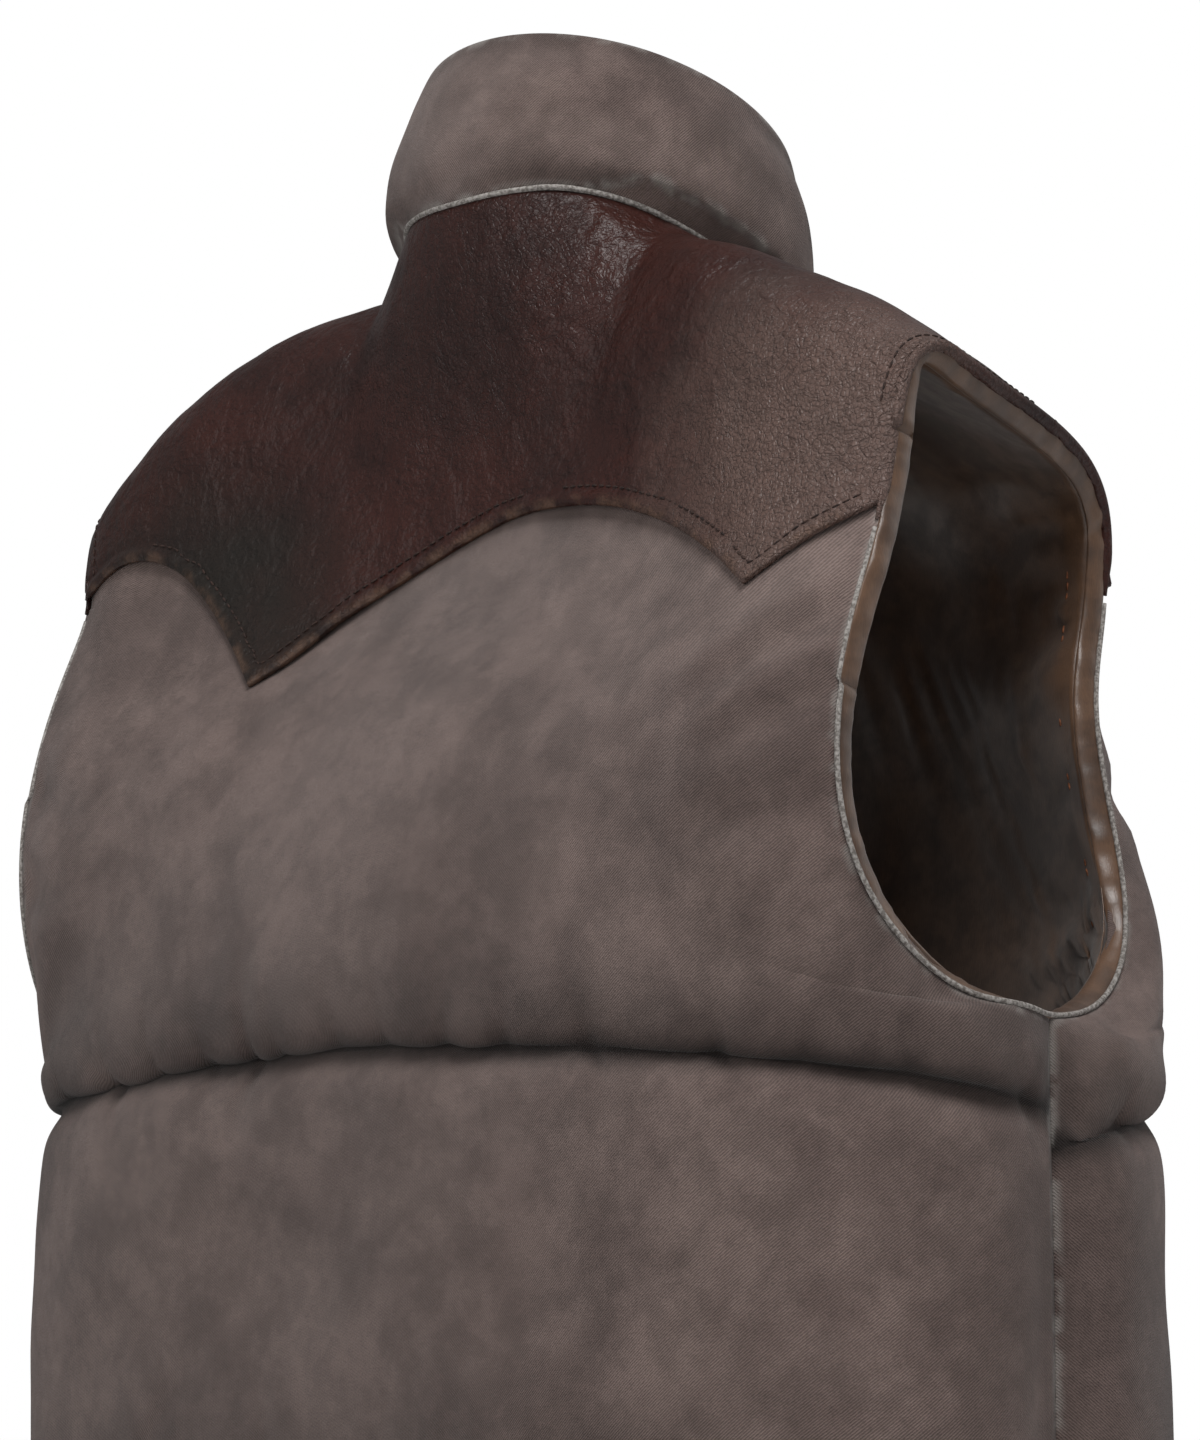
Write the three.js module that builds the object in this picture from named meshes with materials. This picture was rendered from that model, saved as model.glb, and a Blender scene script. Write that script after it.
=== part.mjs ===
// A padded down vest in its worn form, hollow, with a one-piece leather yoke over both shoulders.
// Millimetres, +Z up. +X is the wearer's left and +Y the wearer's back, so the front closes on -Y.
// The origin lies between the shoulders, at the height of the neck points.
//
// Every cloth piece is a wall over a chart. A chart gives a point for (across, up): across runs from
// the centre line, 0, to the side seam or armhole edge, 1, and up is a length from the hem.
import * as THREE from "three";

// ---------- driving dimensions ----------
const SEAM_GAP = 0.4; // between two pieces that are sewn together
const LAYER_GAP = 0.3; // between a piece and what lies on it
const YOKE_GAP = 0.9; // under the yoke, which crosses the shoulder crests
const LINING_GAP = 1.3; // between a panel and its lining
const COLLAR_GAP = 0.9; // under the collar's foot, round the curve of the neck
const LINING_WALL = 1.2;
const LEATHER_WALL = 1.8;
const SEAM_WALL = 6; // padded wall where it is sewn flat
const QUILT_WALL = 9; // padded wall on a quilting line
const QUILT_RISE = 20; // from a quilting line to nearly full loft
const EDGE_RISE = 28; // from a hem or an armhole edge to nearly full loft
const SIDE_RISE = 34; // from a side seam to nearly full loft
const QUILT_TILT = 10; // how far a quilting line lies higher at the wearer's left, lower at the right

// Neck seam: an oval round the neck, higher at the back.
const NECK = { halfWidth: 68, halfDepth: 63, centreY: -10, midZ: -20, backRise: 32 };
const NECK_POINT_TURN = 59; // degrees round the neck from the centre back to the shoulder line

// Shoulder crest, from the neck point to the shoulder tip, with its rise over the straight line.
const SHOULDER_TIP = new THREE.Vector3(203, 45, -73);
const SHOULDER_CROWN = 15;
// The worn vest sits higher on the wearer's left, most of all half way along the crest.
const CROWN_CHANGE = { left: 6, right: -8 };
const SHOULDER_BOW = 6; // how far the crest bows back between its ends
const SHOULDER_LENGTH = 170; // from the neck point to the tip
const CREST_FALL = 0.5; // how steeply the crest already falls towards the front
// How far the cloth leans in towards the neck, for each millimetre it climbs to the neck seam.
const NECK_LEAN = { back: 0.3, front: 0.45, point: 2.3 };
const TURN_IN = { before: 0.05, after: 0.25 }; // across, where it turns from climbing to crossing
// How strongly each end draws the cloth between the chest row and the top.
const BACK_PULLS = { start: 0.92, neck: 0.83, shoulder: 0.55, corner: 0.3 };
const FRONT_PULLS = { start: 0.72, neck: 0.42, shoulder: 0.86, corner: 0.62 };
const CORNER_SPREAD = 0.1; // across, either side of the neck point
const SHOULDER_BLEND = 0.15; // across, from the neck point to where the shoulder's pull is whole
const TIP_BLEND = 0.25; // share of the crest over which the outward direction turns
const SWELL_POWER = 2.6; // how steeply filled cloth rises from a seam
const SECTION_DEPTH = 0.35; // share of the width added to the depth where a section turns little
const SECTION_END = 0.8; // how strongly a section's edge end is drawn, against its centre end
const CHART_STEP = { across: 0.004, up: 4, crest: 0.002 }; // between points read for a direction
const TOP_BAND = 2; // below the top, where the outward direction is the crest's own

// Collar: ovals from the neck seam up to the top edge. thick is the padded wall.
const COLLAR = [
  { rise: 0.0, halfWidth: 68, halfDepth: 63, centreY: -10, midZ: -20, backRise: 32, thick: 11.3 },
  { rise: 0.3, halfWidth: 68, halfDepth: 63, centreY: -12, midZ: 3, backRise: 29.3, thick: 14 },
  { rise: 0.7, halfWidth: 66, halfDepth: 62, centreY: -14, midZ: 33.25, backRise: 25.7, thick: 13 },
  { rise: 1.0, halfWidth: 63, halfDepth: 60, centreY: -16, midZ: 55, backRise: 23, thick: 8 },
];

// Levels up the body, measured from the hem.
const LEVEL = { hem: 0, lowQuilt: 155, quilt: 312, underarm: 338, yokeRow: 525 };

// Inside of the padded body, one row for each section. The centre is at x = 0, and the edge is the
// side seam up to the underarm and the armhole above it. turn is how far the section has turned
// round the body at its edge, in degrees, full how squarely it turns, and loft the padded wall.
const BACK_ROWS = [
  { up: 0, midY: 92, midZ: -600, edgeX: 206, edgeY: 4, edgeZ: -600, turn: 90, full: 0.74, loft: 20 },
  { up: 78, midY: 95, midZ: -524, edgeX: 208, edgeY: 4, edgeZ: -526, turn: 90, full: 0.75, loft: 22 },
  { up: 155, midY: 97, midZ: -448, edgeX: 210, edgeY: 4, edgeZ: -454, turn: 90, full: 0.76, loft: 22 },
  { up: 234, midY: 99, midZ: -370, edgeX: 212, edgeY: 5, edgeZ: -381, turn: 90, full: 0.76, loft: 22 },
  { up: 312, midY: 100, midZ: -292, edgeX: 213, edgeY: 7, edgeZ: -312, turn: 90, full: 0.76, loft: 21 },
  { up: 338, midY: 100, midZ: -265, edgeX: 213, edgeY: 7, edgeZ: -290, turn: 90, full: 0.75, loft: 21 },
  { up: 350, midY: 99, midZ: -253, edgeX: 211, edgeY: 34, edgeZ: -286, turn: 80, full: 0.71, loft: 21 },
  { up: 370, midY: 97, midZ: -234, edgeX: 206, edgeY: 66, edgeZ: -269, turn: 66, full: 0.64, loft: 21 },
  { up: 400, midY: 90, midZ: -205, edgeX: 200, edgeY: 84, edgeZ: -240, turn: 50, full: 0.5, loft: 20 },
  { up: 434, midY: 77, midZ: -173, edgeX: 200, edgeY: 89, edgeZ: -207, turn: 26, full: 0.4, loft: 18 },
  { up: 466, midY: 52, midZ: -143, edgeX: 204, edgeY: 83, edgeZ: -176, turn: 0, full: 0.38, loft: 16 },
  { up: 498, midY: 41, midZ: -112, edgeX: 206, edgeY: 71, edgeZ: -146, turn: -8, full: 0.36, loft: 14 },
  { up: 525, midY: 38, midZ: -86, edgeX: 203, edgeY: 59, edgeZ: -119, turn: -8, full: 0.33, loft: 13 },
];
const FRONT_ROWS = [
  { up: 0, midY: -86, midZ: -600, edgeX: 206, edgeY: 4, edgeZ: -600, turn: 90, full: 0.74, loft: 20 },
  { up: 78, midY: -88, midZ: -524, edgeX: 208, edgeY: 4, edgeZ: -526, turn: 90, full: 0.75, loft: 22 },
  { up: 155, midY: -90, midZ: -449, edgeX: 210, edgeY: 4, edgeZ: -454, turn: 90, full: 0.76, loft: 22 },
  { up: 234, midY: -92, midZ: -373, edgeX: 212, edgeY: 5, edgeZ: -381, turn: 90, full: 0.76, loft: 22 },
  { up: 312, midY: -94, midZ: -298, edgeX: 213, edgeY: 7, edgeZ: -312, turn: 90, full: 0.76, loft: 21 },
  { up: 338, midY: -95, midZ: -272, edgeX: 213, edgeY: 7, edgeZ: -290, turn: 90, full: 0.75, loft: 21 },
  { up: 350, midY: -96, midZ: -260, edgeX: 209, edgeY: -18, edgeZ: -287, turn: 82, full: 0.72, loft: 21 },
  { up: 370, midY: -96, midZ: -240, edgeX: 203, edgeY: -47, edgeZ: -268, turn: 76, full: 0.7, loft: 21 },
  { up: 400, midY: -97, midZ: -211, edgeX: 192, edgeY: -64, edgeZ: -238, turn: 72, full: 0.66, loft: 21 },
  { up: 434, midY: -97, midZ: -180, edgeX: 184, edgeY: -60, edgeZ: -204, turn: 66, full: 0.62, loft: 20 },
  { up: 468, midY: -95, midZ: -148, edgeX: 178, edgeY: -61, edgeZ: -168, turn: 56, full: 0.56, loft: 17 },
  { up: 498, midY: -92, midZ: -118, edgeX: 176, edgeY: -74, edgeZ: -138, turn: 38, full: 0.48, loft: 14 },
  { up: 525, midY: -88, midZ: -90, edgeX: 179, edgeY: -75, edgeZ: -111, turn: 32, full: 0.44, loft: 13 },
];
const BACK_TOP = 640; // up at the neck seam and the shoulder crest
const FRONT_TOP = 645;
const TOP_LOFT = 9;

// Lower edge of the yoke: across, and the height above the hem where it runs. The worn yoke sits
// over to the wearer's right at the back, so across is negative there on the wearer's right.
const YOKE_BACK_EDGE = [
  { across: -1.0, up: 514 },
  { across: -0.88, up: 502 },
  { across: -0.757, up: 481 },
  { across: -0.65, up: 493 },
  { across: -0.5, up: 506 },
  { across: -0.3, up: 512 },
  { across: -0.15, up: 510 },
  { across: 0.0, up: 501 },
  { across: 0.12, up: 490 },
  { across: 0.27, up: 476 },
  { across: 0.394, up: 457 },
  { across: 0.49, up: 486 },
  { across: 0.6, up: 517 },
  { across: 0.72, up: 546 },
  { across: 0.84, up: 563 },
  { across: 0.93, up: 566 },
  { across: 1.0, up: 560 },
];
const YOKE_FRONT_EDGE = [
  { across: 0.0, up: 545 },
  { across: 0.25, up: 525 },
  { across: 0.5, up: 496 },
  { across: 0.62, up: 485 },
  { across: 0.75, up: 497 },
  { across: 1.0, up: 510 },
];

// Front closure: a plain placket strip with fastened snaps, and one snap on the collar.
const PLACKET = { wall: 3, hemGap: 3, neckGap: 8 };
const QUARTER_GIRTH = 250; // from the centre line to the side seam
const SNAP = { radius: 7.5, height: 2.4, facets: 14, lift: 0.6 };
const SNAP_UPS = [35, 115, 195, 275, 355, 435, 515];

// Grid steps: columns on the neck and shoulder stretches, and rows between seams.
const SHOULDER_STEPS = [0, 0.085, 0.17, 0.3, 0.43, 0.55, 0.667, 0.83, 1]; // neck point to tip
const SHOULDER_SHARE_BACK = 0.27; // across at the neck point, on the back
const SHOULDER_SHARE_FRONT = 0.54;
const ROWS_IN_BAFFLE = [0, 0.05, 0.14, 0.5, 0.86, 0.95, 1];
const ROWS_TO_UNDERARM = [0, 0.3, 1];
const ROWS_TO_YOKE = [0, 0.1, 0.26, 0.48, 0.72, 0.9, 1];
const ROWS_OVER_YOKE = [0, 0.2, 0.4, 0.6, 0.8, 1];

// ---------- small helpers ----------
const RADIANS = Math.PI / 180;
const lerp = THREE.MathUtils.lerp;
const clamp = THREE.MathUtils.clamp;
const vec = (x, y, z) => new THREE.Vector3(x, y, z);
const ease = (t) => THREE.MathUtils.smoothstep(t, 0, 1);

// A smooth curve through one column of a table, read at a value of its key column. It never
// swings past the table's own values.
function column(rows, key, name, at) {
  const last = rows.length - 1;
  const here = clamp(at, rows[0][key], rows[last][key]);
  let i = 0;
  while (i < last - 1 && here > rows[i + 1][key]) i += 1;
  const slope = (a) => (rows[a + 1][name] - rows[a][name]) / (rows[a + 1][key] - rows[a][key]);
  const middle = slope(i);
  const shared = (other) => (other * middle > 0 ? (2 * other * middle) / (other + middle) : 0);
  const startSlope = i === 0 ? middle : shared(slope(i - 1));
  const endSlope = i === last - 1 ? middle : shared(slope(i + 1));
  const step = rows[i + 1][key] - rows[i][key];
  const t = (here - rows[i][key]) / step;
  const rise = t * t * (3 - 2 * t);
  const start = t * (1 - t) * (1 - t) * step * startSlope;
  const end = t * t * (t - 1) * step * endSlope;
  return rows[i][name] * (1 - rise) + rows[i + 1][name] * rise + start + end;
}

// 0 on a seam and 1 at its full rise away from it, steep at the seam as a filled channel is.
function swell(distance, rise) {
  const left = 1 - clamp(distance / rise, 0, 1);
  return 1 - left ** SWELL_POWER;
}

function hermite(start, startPull, end, endPull, t) {
  const s = t * t * (3 - 2 * t);
  return start
    .clone()
    .multiplyScalar(1 - s)
    .addScaledVector(end, s)
    .addScaledVector(startPull, t * (1 - t) * (1 - t))
    .addScaledVector(endPull, t * t * (t - 1));
}

// ---------- the body's charts ----------
function oval(ring, turn) {
  const x = ring.halfWidth * Math.sin(turn);
  const y = ring.centreY + ring.halfDepth * Math.cos(turn);
  return vec(x, y, ring.midZ + ring.backRise * Math.cos(turn));
}

// One section of the body: a curve that leaves the centre line square and turns round to its edge.
function section(rows, side, across, up) {
  const read = (name) => column(rows, "up", name, up);
  const edgeX = read("edgeX");
  const centreY = read("midY");
  const edgeY = read("edgeY");
  const turn = read("turn") * RADIANS;
  const depth = Math.abs(centreY - edgeY) + SECTION_DEPTH * edgeX * (1 - Math.sin(turn));
  const pull = read("full");
  const a = across;
  const b = 1 - across;
  const curve = (p0, p1, p2, p3) => b ** 3 * p0 + 3 * b * b * a * p1 + 3 * b * a * a * p2 + a ** 3 * p3;
  const endX = edgeX - Math.cos(turn) * pull * edgeX * SECTION_END;
  const endY = edgeY + side * Math.sin(turn) * pull * depth;
  const x = curve(0, pull * edgeX, endX, edgeX);
  const y = curve(centreY, centreY, endY, edgeY);
  const z = lerp(read("midZ"), read("edgeZ"), a * a * (3 - 2 * a));
  return vec(x, y, z);
}

// The end of a chart: the neck seam up to the neck point, then the shoulder crest to the tip.
function crest(side, share, across) {
  const point = NECK_POINT_TURN * RADIANS;
  if (across <= share) {
    const far = side > 0 ? 0 : Math.PI;
    return oval(NECK, lerp(far, point, across / share));
  }
  const t = (across - share) / (1 - share);
  const at = oval(NECK, point).lerp(SHOULDER_TIP, t);
  at.z += SHOULDER_CROWN * 4 * t * (1 - t);
  at.y += SHOULDER_BOW * 4 * t * (1 - t);
  return at;
}

// The way the cloth runs as it reaches that end: round the neck it climbs and leans in to the
// collar, and on the shoulder it passes over the crest.
function neckClimb(side, share, across) {
  const t = clamp(across / share, 0, 1);
  const turn = lerp(side > 0 ? 0 : Math.PI, NECK_POINT_TURN * RADIANS, t);
  const lean = lerp(side > 0 ? NECK_LEAN.back : NECK_LEAN.front, NECK_LEAN.point, ease(t));
  return vec(-lean * Math.sin(turn), -lean * Math.cos(turn), 1).normalize();
}
const overCrest = (side) => vec(0, -side, -side * CREST_FALL).normalize();
function crestPull(side, share, across) {
  const blend = ease((across - share + TURN_IN.before) / (TURN_IN.before + TURN_IN.after));
  return neckClimb(side, share, across).lerp(overCrest(side), blend).normalize();
}

// Outward direction along that end. It is the same for both halves on the shoulder.
function crestOutward(side, share, across) {
  const step = CHART_STEP.crest;
  const onNeck = Math.min(across, share);
  const low = Math.max(onNeck - step, 0);
  const alongNeck = crest(side, share, low + step).sub(crest(side, share, low));
  const fromNeck = neckClimb(side, share, onNeck).cross(alongNeck).multiplyScalar(side).normalize();
  if (across === 0) fromNeck.x = 0;
  const onShoulder = clamp(across, share, 1 - step);
  const alongShoulder = crest(side, share, onShoulder + step).sub(crest(side, share, onShoulder));
  const fromShoulder = overCrest(side).cross(alongShoulder).multiplyScalar(side).normalize();
  const t = (across - share) / (1 - share);
  const blend = across < share ? 0.5 * ease(2 * (across / share) - 1) : 0.5 + 0.5 * ease(t / TIP_BLEND);
  return fromNeck.lerp(fromShoulder, blend).normalize();
}

function makeChart(rows, side, share, top) {
  const rowUp = LEVEL.yokeRow;
  const pulls = side > 0 ? BACK_PULLS : FRONT_PULLS;
  return function chart(across, up) {
    if (up <= rowUp) return section(rows, side, across, up);
    const start = section(rows, side, across, rowUp);
    const below = section(rows, side, across, rowUp - CHART_STEP.up);
    const end = crest(side, share, across);
    const reach = start.distanceTo(end);
    const startPull = start.clone().sub(below).normalize().multiplyScalar(reach * pulls.start);
    const onShoulder = clamp((across - share) / SHOULDER_BLEND, 0, 1);
    const endReach = lerp(reach * pulls.neck, reach * pulls.shoulder, onShoulder);
    const nearPoint = 1 - ease(Math.abs(across - share) / CORNER_SPREAD);
    const endPull = crestPull(side, share, across);
    endPull.multiplyScalar(endReach * (1 + pulls.corner * nearPoint));
    return hermite(start, startPull, end, endPull, (up - rowUp) / (top - rowUp));
  };
}

const BACK = {
  side: 1,
  rows: BACK_ROWS,
  share: SHOULDER_SHARE_BACK,
  neckColumns: 5,
  top: BACK_TOP,
  yokeEdge: YOKE_BACK_EDGE,
  chart: makeChart(BACK_ROWS, 1, SHOULDER_SHARE_BACK, BACK_TOP),
};
const FRONT = {
  side: -1,
  rows: FRONT_ROWS,
  share: SHOULDER_SHARE_FRONT,
  neckColumns: 8,
  top: FRONT_TOP,
  yokeEdge: YOKE_FRONT_EDGE,
  chart: makeChart(FRONT_ROWS, -1, SHOULDER_SHARE_FRONT, FRONT_TOP),
};

// Point and outward direction of a body half, hand +1 for the wearer's left and -1 for the right.
function inside(half, hand, across, up) {
  const at = half.chart(across, up);
  const t = clamp((across - half.share) / (1 - half.share), 0, 1);
  const change = hand > 0 ? CROWN_CHANGE.left : CROWN_CHANGE.right;
  const climb = ease((up - LEVEL.yokeRow) / (half.top - LEVEL.yokeRow));
  return vec(hand * at.x, at.y, at.z + change * 4 * t * (1 - t) * climb);
}
function outward(half, hand, across, up) {
  const step = CHART_STEP.across;
  if (up > half.top - TOP_BAND) {
    const away = crestOutward(half.side, half.share, across);
    return vec(hand * away.x, away.y, away.z);
  }
  const lowAcross = Math.max(across - step, 0);
  const highAcross = Math.min(across + step, 1);
  const belowArm = up <= LEVEL.underarm;
  const lowUp = Math.max(up - 1, belowArm ? 0 : LEVEL.underarm);
  const highUp = Math.min(up + 1, belowArm ? LEVEL.underarm : half.top);
  const alongAcross = half.chart(highAcross, up).sub(half.chart(lowAcross, up));
  const alongUp = half.chart(across, highUp).sub(half.chart(across, lowUp));
  const normal = alongUp.cross(alongAcross).multiplyScalar(half.side).normalize();
  if (across === 0) normal.x = 0;
  return vec(hand * normal.x, normal.y, normal.z).normalize();
}

// Padded wall: full loft between the seams, thin on them.
function quiltUp(hand, across, level) {
  return level + hand * across * QUILT_TILT;
}
function paddedWall(half, hand, across, up) {
  const toEdge = ((1 - across) / (1 - half.share)) * SHOULDER_LENGTH;
  const loft = up > LEVEL.yokeRow
    ? lerp(column(half.rows, "up", "loft", LEVEL.yokeRow), TOP_LOFT,
      (up - LEVEL.yokeRow) / (half.top - LEVEL.yokeRow))
    : column(half.rows, "up", "loft", up);
  const toQuilt = Math.min(
    Math.abs(up - quiltUp(hand, across, LEVEL.quilt)),
    Math.abs(up - quiltUp(hand, across, LEVEL.lowQuilt)),
  );
  const side = up < LEVEL.underarm ? SIDE_RISE : EDGE_RISE;
  const rim = Math.min(swell(up, EDGE_RISE), swell(toEdge, side));
  const rimmed = SEAM_WALL + (loft - SEAM_WALL) * rim;
  return Math.min(rimmed, QUILT_WALL + (loft - QUILT_WALL) * swell(toQuilt, QUILT_RISE));
}
function outside(half, hand, across, up, lift) {
  const at = inside(half, hand, across, up);
  const wall = paddedWall(half, hand, across, up) + lift;
  return at.addScaledVector(outward(half, hand, across, up), wall);
}

// ---------- shells ----------
// A closed wall from a patch of four-sided cells: outer and inner points for each vertex, the cells
// as vertex numbers turning left as seen from outside, and a rim along every free edge.
function shell(outer, inner, cells) {
  const count = outer.length;
  const positions = [];
  for (const at of [...outer, ...inner]) positions.push(at.x, at.y, at.z);
  const index = [];
  const edges = new Map();
  for (const cell of cells) {
    const [a, b, c, d] = cell;
    index.push(a, b, c, a, c, d);
    index.push(count + a, count + c, count + b, count + a, count + d, count + c);
    cell.forEach((from, i) => edges.set(from + ":" + cell[(i + 1) % 4], [from, cell[(i + 1) % 4]]));
  }
  for (const [from, to] of edges.values()) {
    if (edges.has(to + ":" + from)) continue;
    const diagonal = Math.abs(outer[from].x) <= Math.abs(outer[to].x)
      ? [from, count + to]
      : [count + from, to];
    index.push(from, count + from, diagonal[1]);
    index.push(diagonal[0], count + to, to);
  }
  const geometry = new THREE.BufferGeometry();
  geometry.setAttribute("position", new THREE.Float32BufferAttribute(positions, 3));
  geometry.setIndex(index);
  geometry.computeVertexNormals();
  return geometry;
}

// Vertex store: each vertex is kept once under its own key.
class Patch {
  constructor() {
    this.numbers = new Map();
    this.outer = [];
    this.inner = [];
    this.cells = [];
  }
  add(key, outer, inner) {
    if (!this.numbers.has(key)) {
      this.numbers.set(key, this.outer.length);
      this.outer.push(outer);
      this.inner.push(inner);
    }
    return this.numbers.get(key);
  }
  // A grid of columns and rows; make(column, row) gives [key, outer, inner].
  grid(columns, rows, make, flip) {
    const number = (i, j) => this.add(...make(i, j));
    for (let i = 0; i < columns - 1; i += 1) {
      for (let j = 0; j < rows - 1; j += 1) {
        const cell = [number(i, j), number(i + 1, j), number(i + 1, j + 1), number(i, j + 1)];
        this.cells.push(flip ? cell.reverse() : cell);
      }
    }
  }
  geometry() {
    return shell(this.outer, this.inner, this.cells);
  }
}

// Columns of a half: evenly spaced on the neck stretch, then one at each point of the yoke.
function columnsOf(half) {
  const columns = [];
  for (let i = 0; i < half.neckColumns; i += 1) columns.push((half.share * i) / half.neckColumns);
  for (const t of SHOULDER_STEPS) columns.push(lerp(half.share, 1, t));
  return columns;
}

// Rows of a half at one column, from the hem to the top, bending to follow the yoke's lower edge.
function rowsAt(half, hand, across) {
  const low = quiltUp(hand, across, LEVEL.lowQuilt);
  const quilt = quiltUp(hand, across, LEVEL.quilt);
  const yoke = column(half.yokeEdge, "across", "up", half === BACK ? hand * across : across);
  const rows = [];
  const stretch = (from, to, steps) => steps.slice(1).forEach((t) => rows.push(lerp(from, to, t)));
  rows.push(0);
  stretch(0, low, ROWS_IN_BAFFLE);
  stretch(low, quilt, ROWS_IN_BAFFLE);
  stretch(quilt, LEVEL.underarm, ROWS_TO_UNDERARM);
  stretch(LEVEL.underarm, yoke, ROWS_TO_YOKE);
  stretch(yoke, half.top, ROWS_OVER_YOKE);
  return rows;
}
const YOKE_ROW = 2 * (ROWS_IN_BAFFLE.length - 1) + ROWS_TO_UNDERARM.length + ROWS_TO_YOKE.length - 2;

// Keeps a column or a row half a seam gap away from the chart's own edge.
const GAP_ACROSS = SEAM_GAP / 2 / QUARTER_GIRTH;
const seamAcross = (across) => Math.min(across, 1 - GAP_ACROSS);
const seamUp = (half, up) => Math.min(up, half.top - SEAM_GAP);

function material(colour, roughness) {
  return new THREE.MeshStandardMaterial({ color: colour, roughness, metalness: 0 });
}
const TWILL = material("#5f5651", 0.9);
const LEATHER = material("#3b2621", 0.5);
const LINING = material("#5b4030", 0.6);
const SNAP_METAL = new THREE.MeshStandardMaterial({ color: "#4a3d31", roughness: 0.4, metalness: 0.9 });

function piece(name, geometry, look) {
  const mesh = new THREE.Mesh(geometry, look);
  mesh.name = name;
  return mesh;
}

// A body panel, or the lining inside it, over one half (hand given) or both halves of a chart.
function panelGeometry(half, hands, wallAt) {
  const patch = new Patch();
  const columns = columnsOf(half);
  for (const hand of hands) {
    const rows = columns.map((across) => rowsAt(half, hand, across));
    const make = (i, j) => {
      const across = i === 0 && hands.length === 1 ? GAP_ACROSS : seamAcross(columns[i]);
      const up = seamUp(half, rows[i][j]);
      const key = i === 0 && hands.length === 2 ? "centre:" + j : hand + ":" + i + ":" + j;
      return [key, ...wallAt(half, hand, across, up)];
    };
    patch.grid(columns.length, rows[0].length, make, hand * half.side > 0);
  }
  return patch.geometry();
}
const paddedPoints = (half, hand, across, up) => [
  outside(half, hand, across, up, 0),
  inside(half, hand, across, up),
];
const liningPoints = (half, hand, across, up) => {
  const away = outward(half, hand, across, up);
  const at = inside(half, hand, across, up);
  return [
    at.clone().addScaledVector(away, -LINING_GAP),
    at.clone().addScaledVector(away, -LINING_GAP - LINING_WALL),
  ];
};

// The yoke: one leather skin on the back and both fronts, unbroken over the shoulder crests.
function yokeGeometry() {
  const patch = new Patch();
  for (const half of [BACK, FRONT]) {
    const columns = columnsOf(half);
    const other = half === BACK ? FRONT : BACK;
    for (const hand of [1, -1]) {
      const rows = columns.map((across) => rowsAt(half, hand, across).slice(YOKE_ROW));
      const lastRow = rows[0].length - 1;
      const points = (from, across, up) => [
        outside(from, hand, across, up, YOKE_GAP + LEATHER_WALL),
        outside(from, hand, across, up, YOKE_GAP),
      ];
      const make = (i, j) => {
        const onCrest = j === lastRow && i >= half.neckColumns;
        const across = i === 0 && half === FRONT ? GAP_ACROSS : columns[i];
        const up = j === lastRow && !onCrest ? half.top - SEAM_GAP : rows[i][j];
        const [outer, inner] = points(half, across, up);
        if (!onCrest) {
          const key = half === BACK && i === 0 ? "centre:" + j : [half.side, hand, i, j].join(":");
          return [key, outer, inner];
        }
        const fromPoint = i - half.neckColumns;
        const otherAcross = columnsOf(other)[other.neckColumns + fromPoint];
        const [otherOuter, otherInner] = points(other, otherAcross, other.top);
        const key = ["crest", hand, fromPoint].join(":");
        return [key, outer.lerp(otherOuter, 0.5), inner.lerp(otherInner, 0.5)];
      };
      patch.grid(columns.length, lastRow + 1, make, hand * half.side > 0);
    }
  }
  return patch.geometry();
}

// The collar: padded, standing on the neck seam, open at the centre front. Its columns are those
// of the body at the neck, and its foot is cut square to the body's own wall there.
function collarGeometry() {
  const patch = new Patch();
  const rises = [0, 0.12, 0.3, 0.5, 0.7, 0.88, 1];
  const point = NECK_POINT_TURN * RADIANS;
  const openTurn = SEAM_GAP / NECK.halfWidth;
  const feet = [];
  for (let i = -BACK.neckColumns; i <= BACK.neckColumns; i += 1) {
    const t = Math.abs(i) / BACK.neckColumns;
    const hand = Math.sign(i);
    feet.push({ half: BACK, hand: hand || 1, across: BACK.share * t, turn: hand * point * t });
  }
  for (let i = FRONT.neckColumns - 1; i >= 0; i -= 1) {
    const t = i / FRONT.neckColumns;
    const turn = Math.min(lerp(Math.PI, point, t), Math.PI - openTurn);
    feet.unshift({ half: FRONT, hand: -1, across: FRONT.share * t, turn: -turn });
    feet.push({ half: FRONT, hand: 1, across: FRONT.share * t, turn });
  }
  const ringAt = (rise) => {
    const ring = {};
    for (const name of ["halfWidth", "halfDepth", "centreY", "midZ", "backRise", "thick"]) {
      ring[name] = column(COLLAR, "rise", name, clamp(rise, 0, 1));
    }
    return ring;
  };
  const make = (i, j) => {
    const { half, hand, across, turn } = feet[i];
    const rise = rises[j];
    const ring = ringAt(rise);
    const at = oval(ring, turn);
    const along = oval(ring, turn + 0.01).sub(oval(ring, turn - 0.01));
    const step = 0.03;
    const upwards = oval(ringAt(rise + step), turn).sub(oval(ringAt(rise - step), turn)).normalize();
    const square = along.cross(upwards).multiplyScalar(-1).normalize();
    const foot = outward(half, hand, across, half.top);
    const away = foot.lerp(square, clamp(rise / 0.3, 0, 1)).normalize();
    at.addScaledVector(upwards, j === 0 ? COLLAR_GAP : 0);
    return [i + ":" + j, at.clone().addScaledVector(away, ring.thick), at];
  };
  patch.grid(feet.length, rises.length, make, true);
  return patch.geometry();
}

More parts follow.
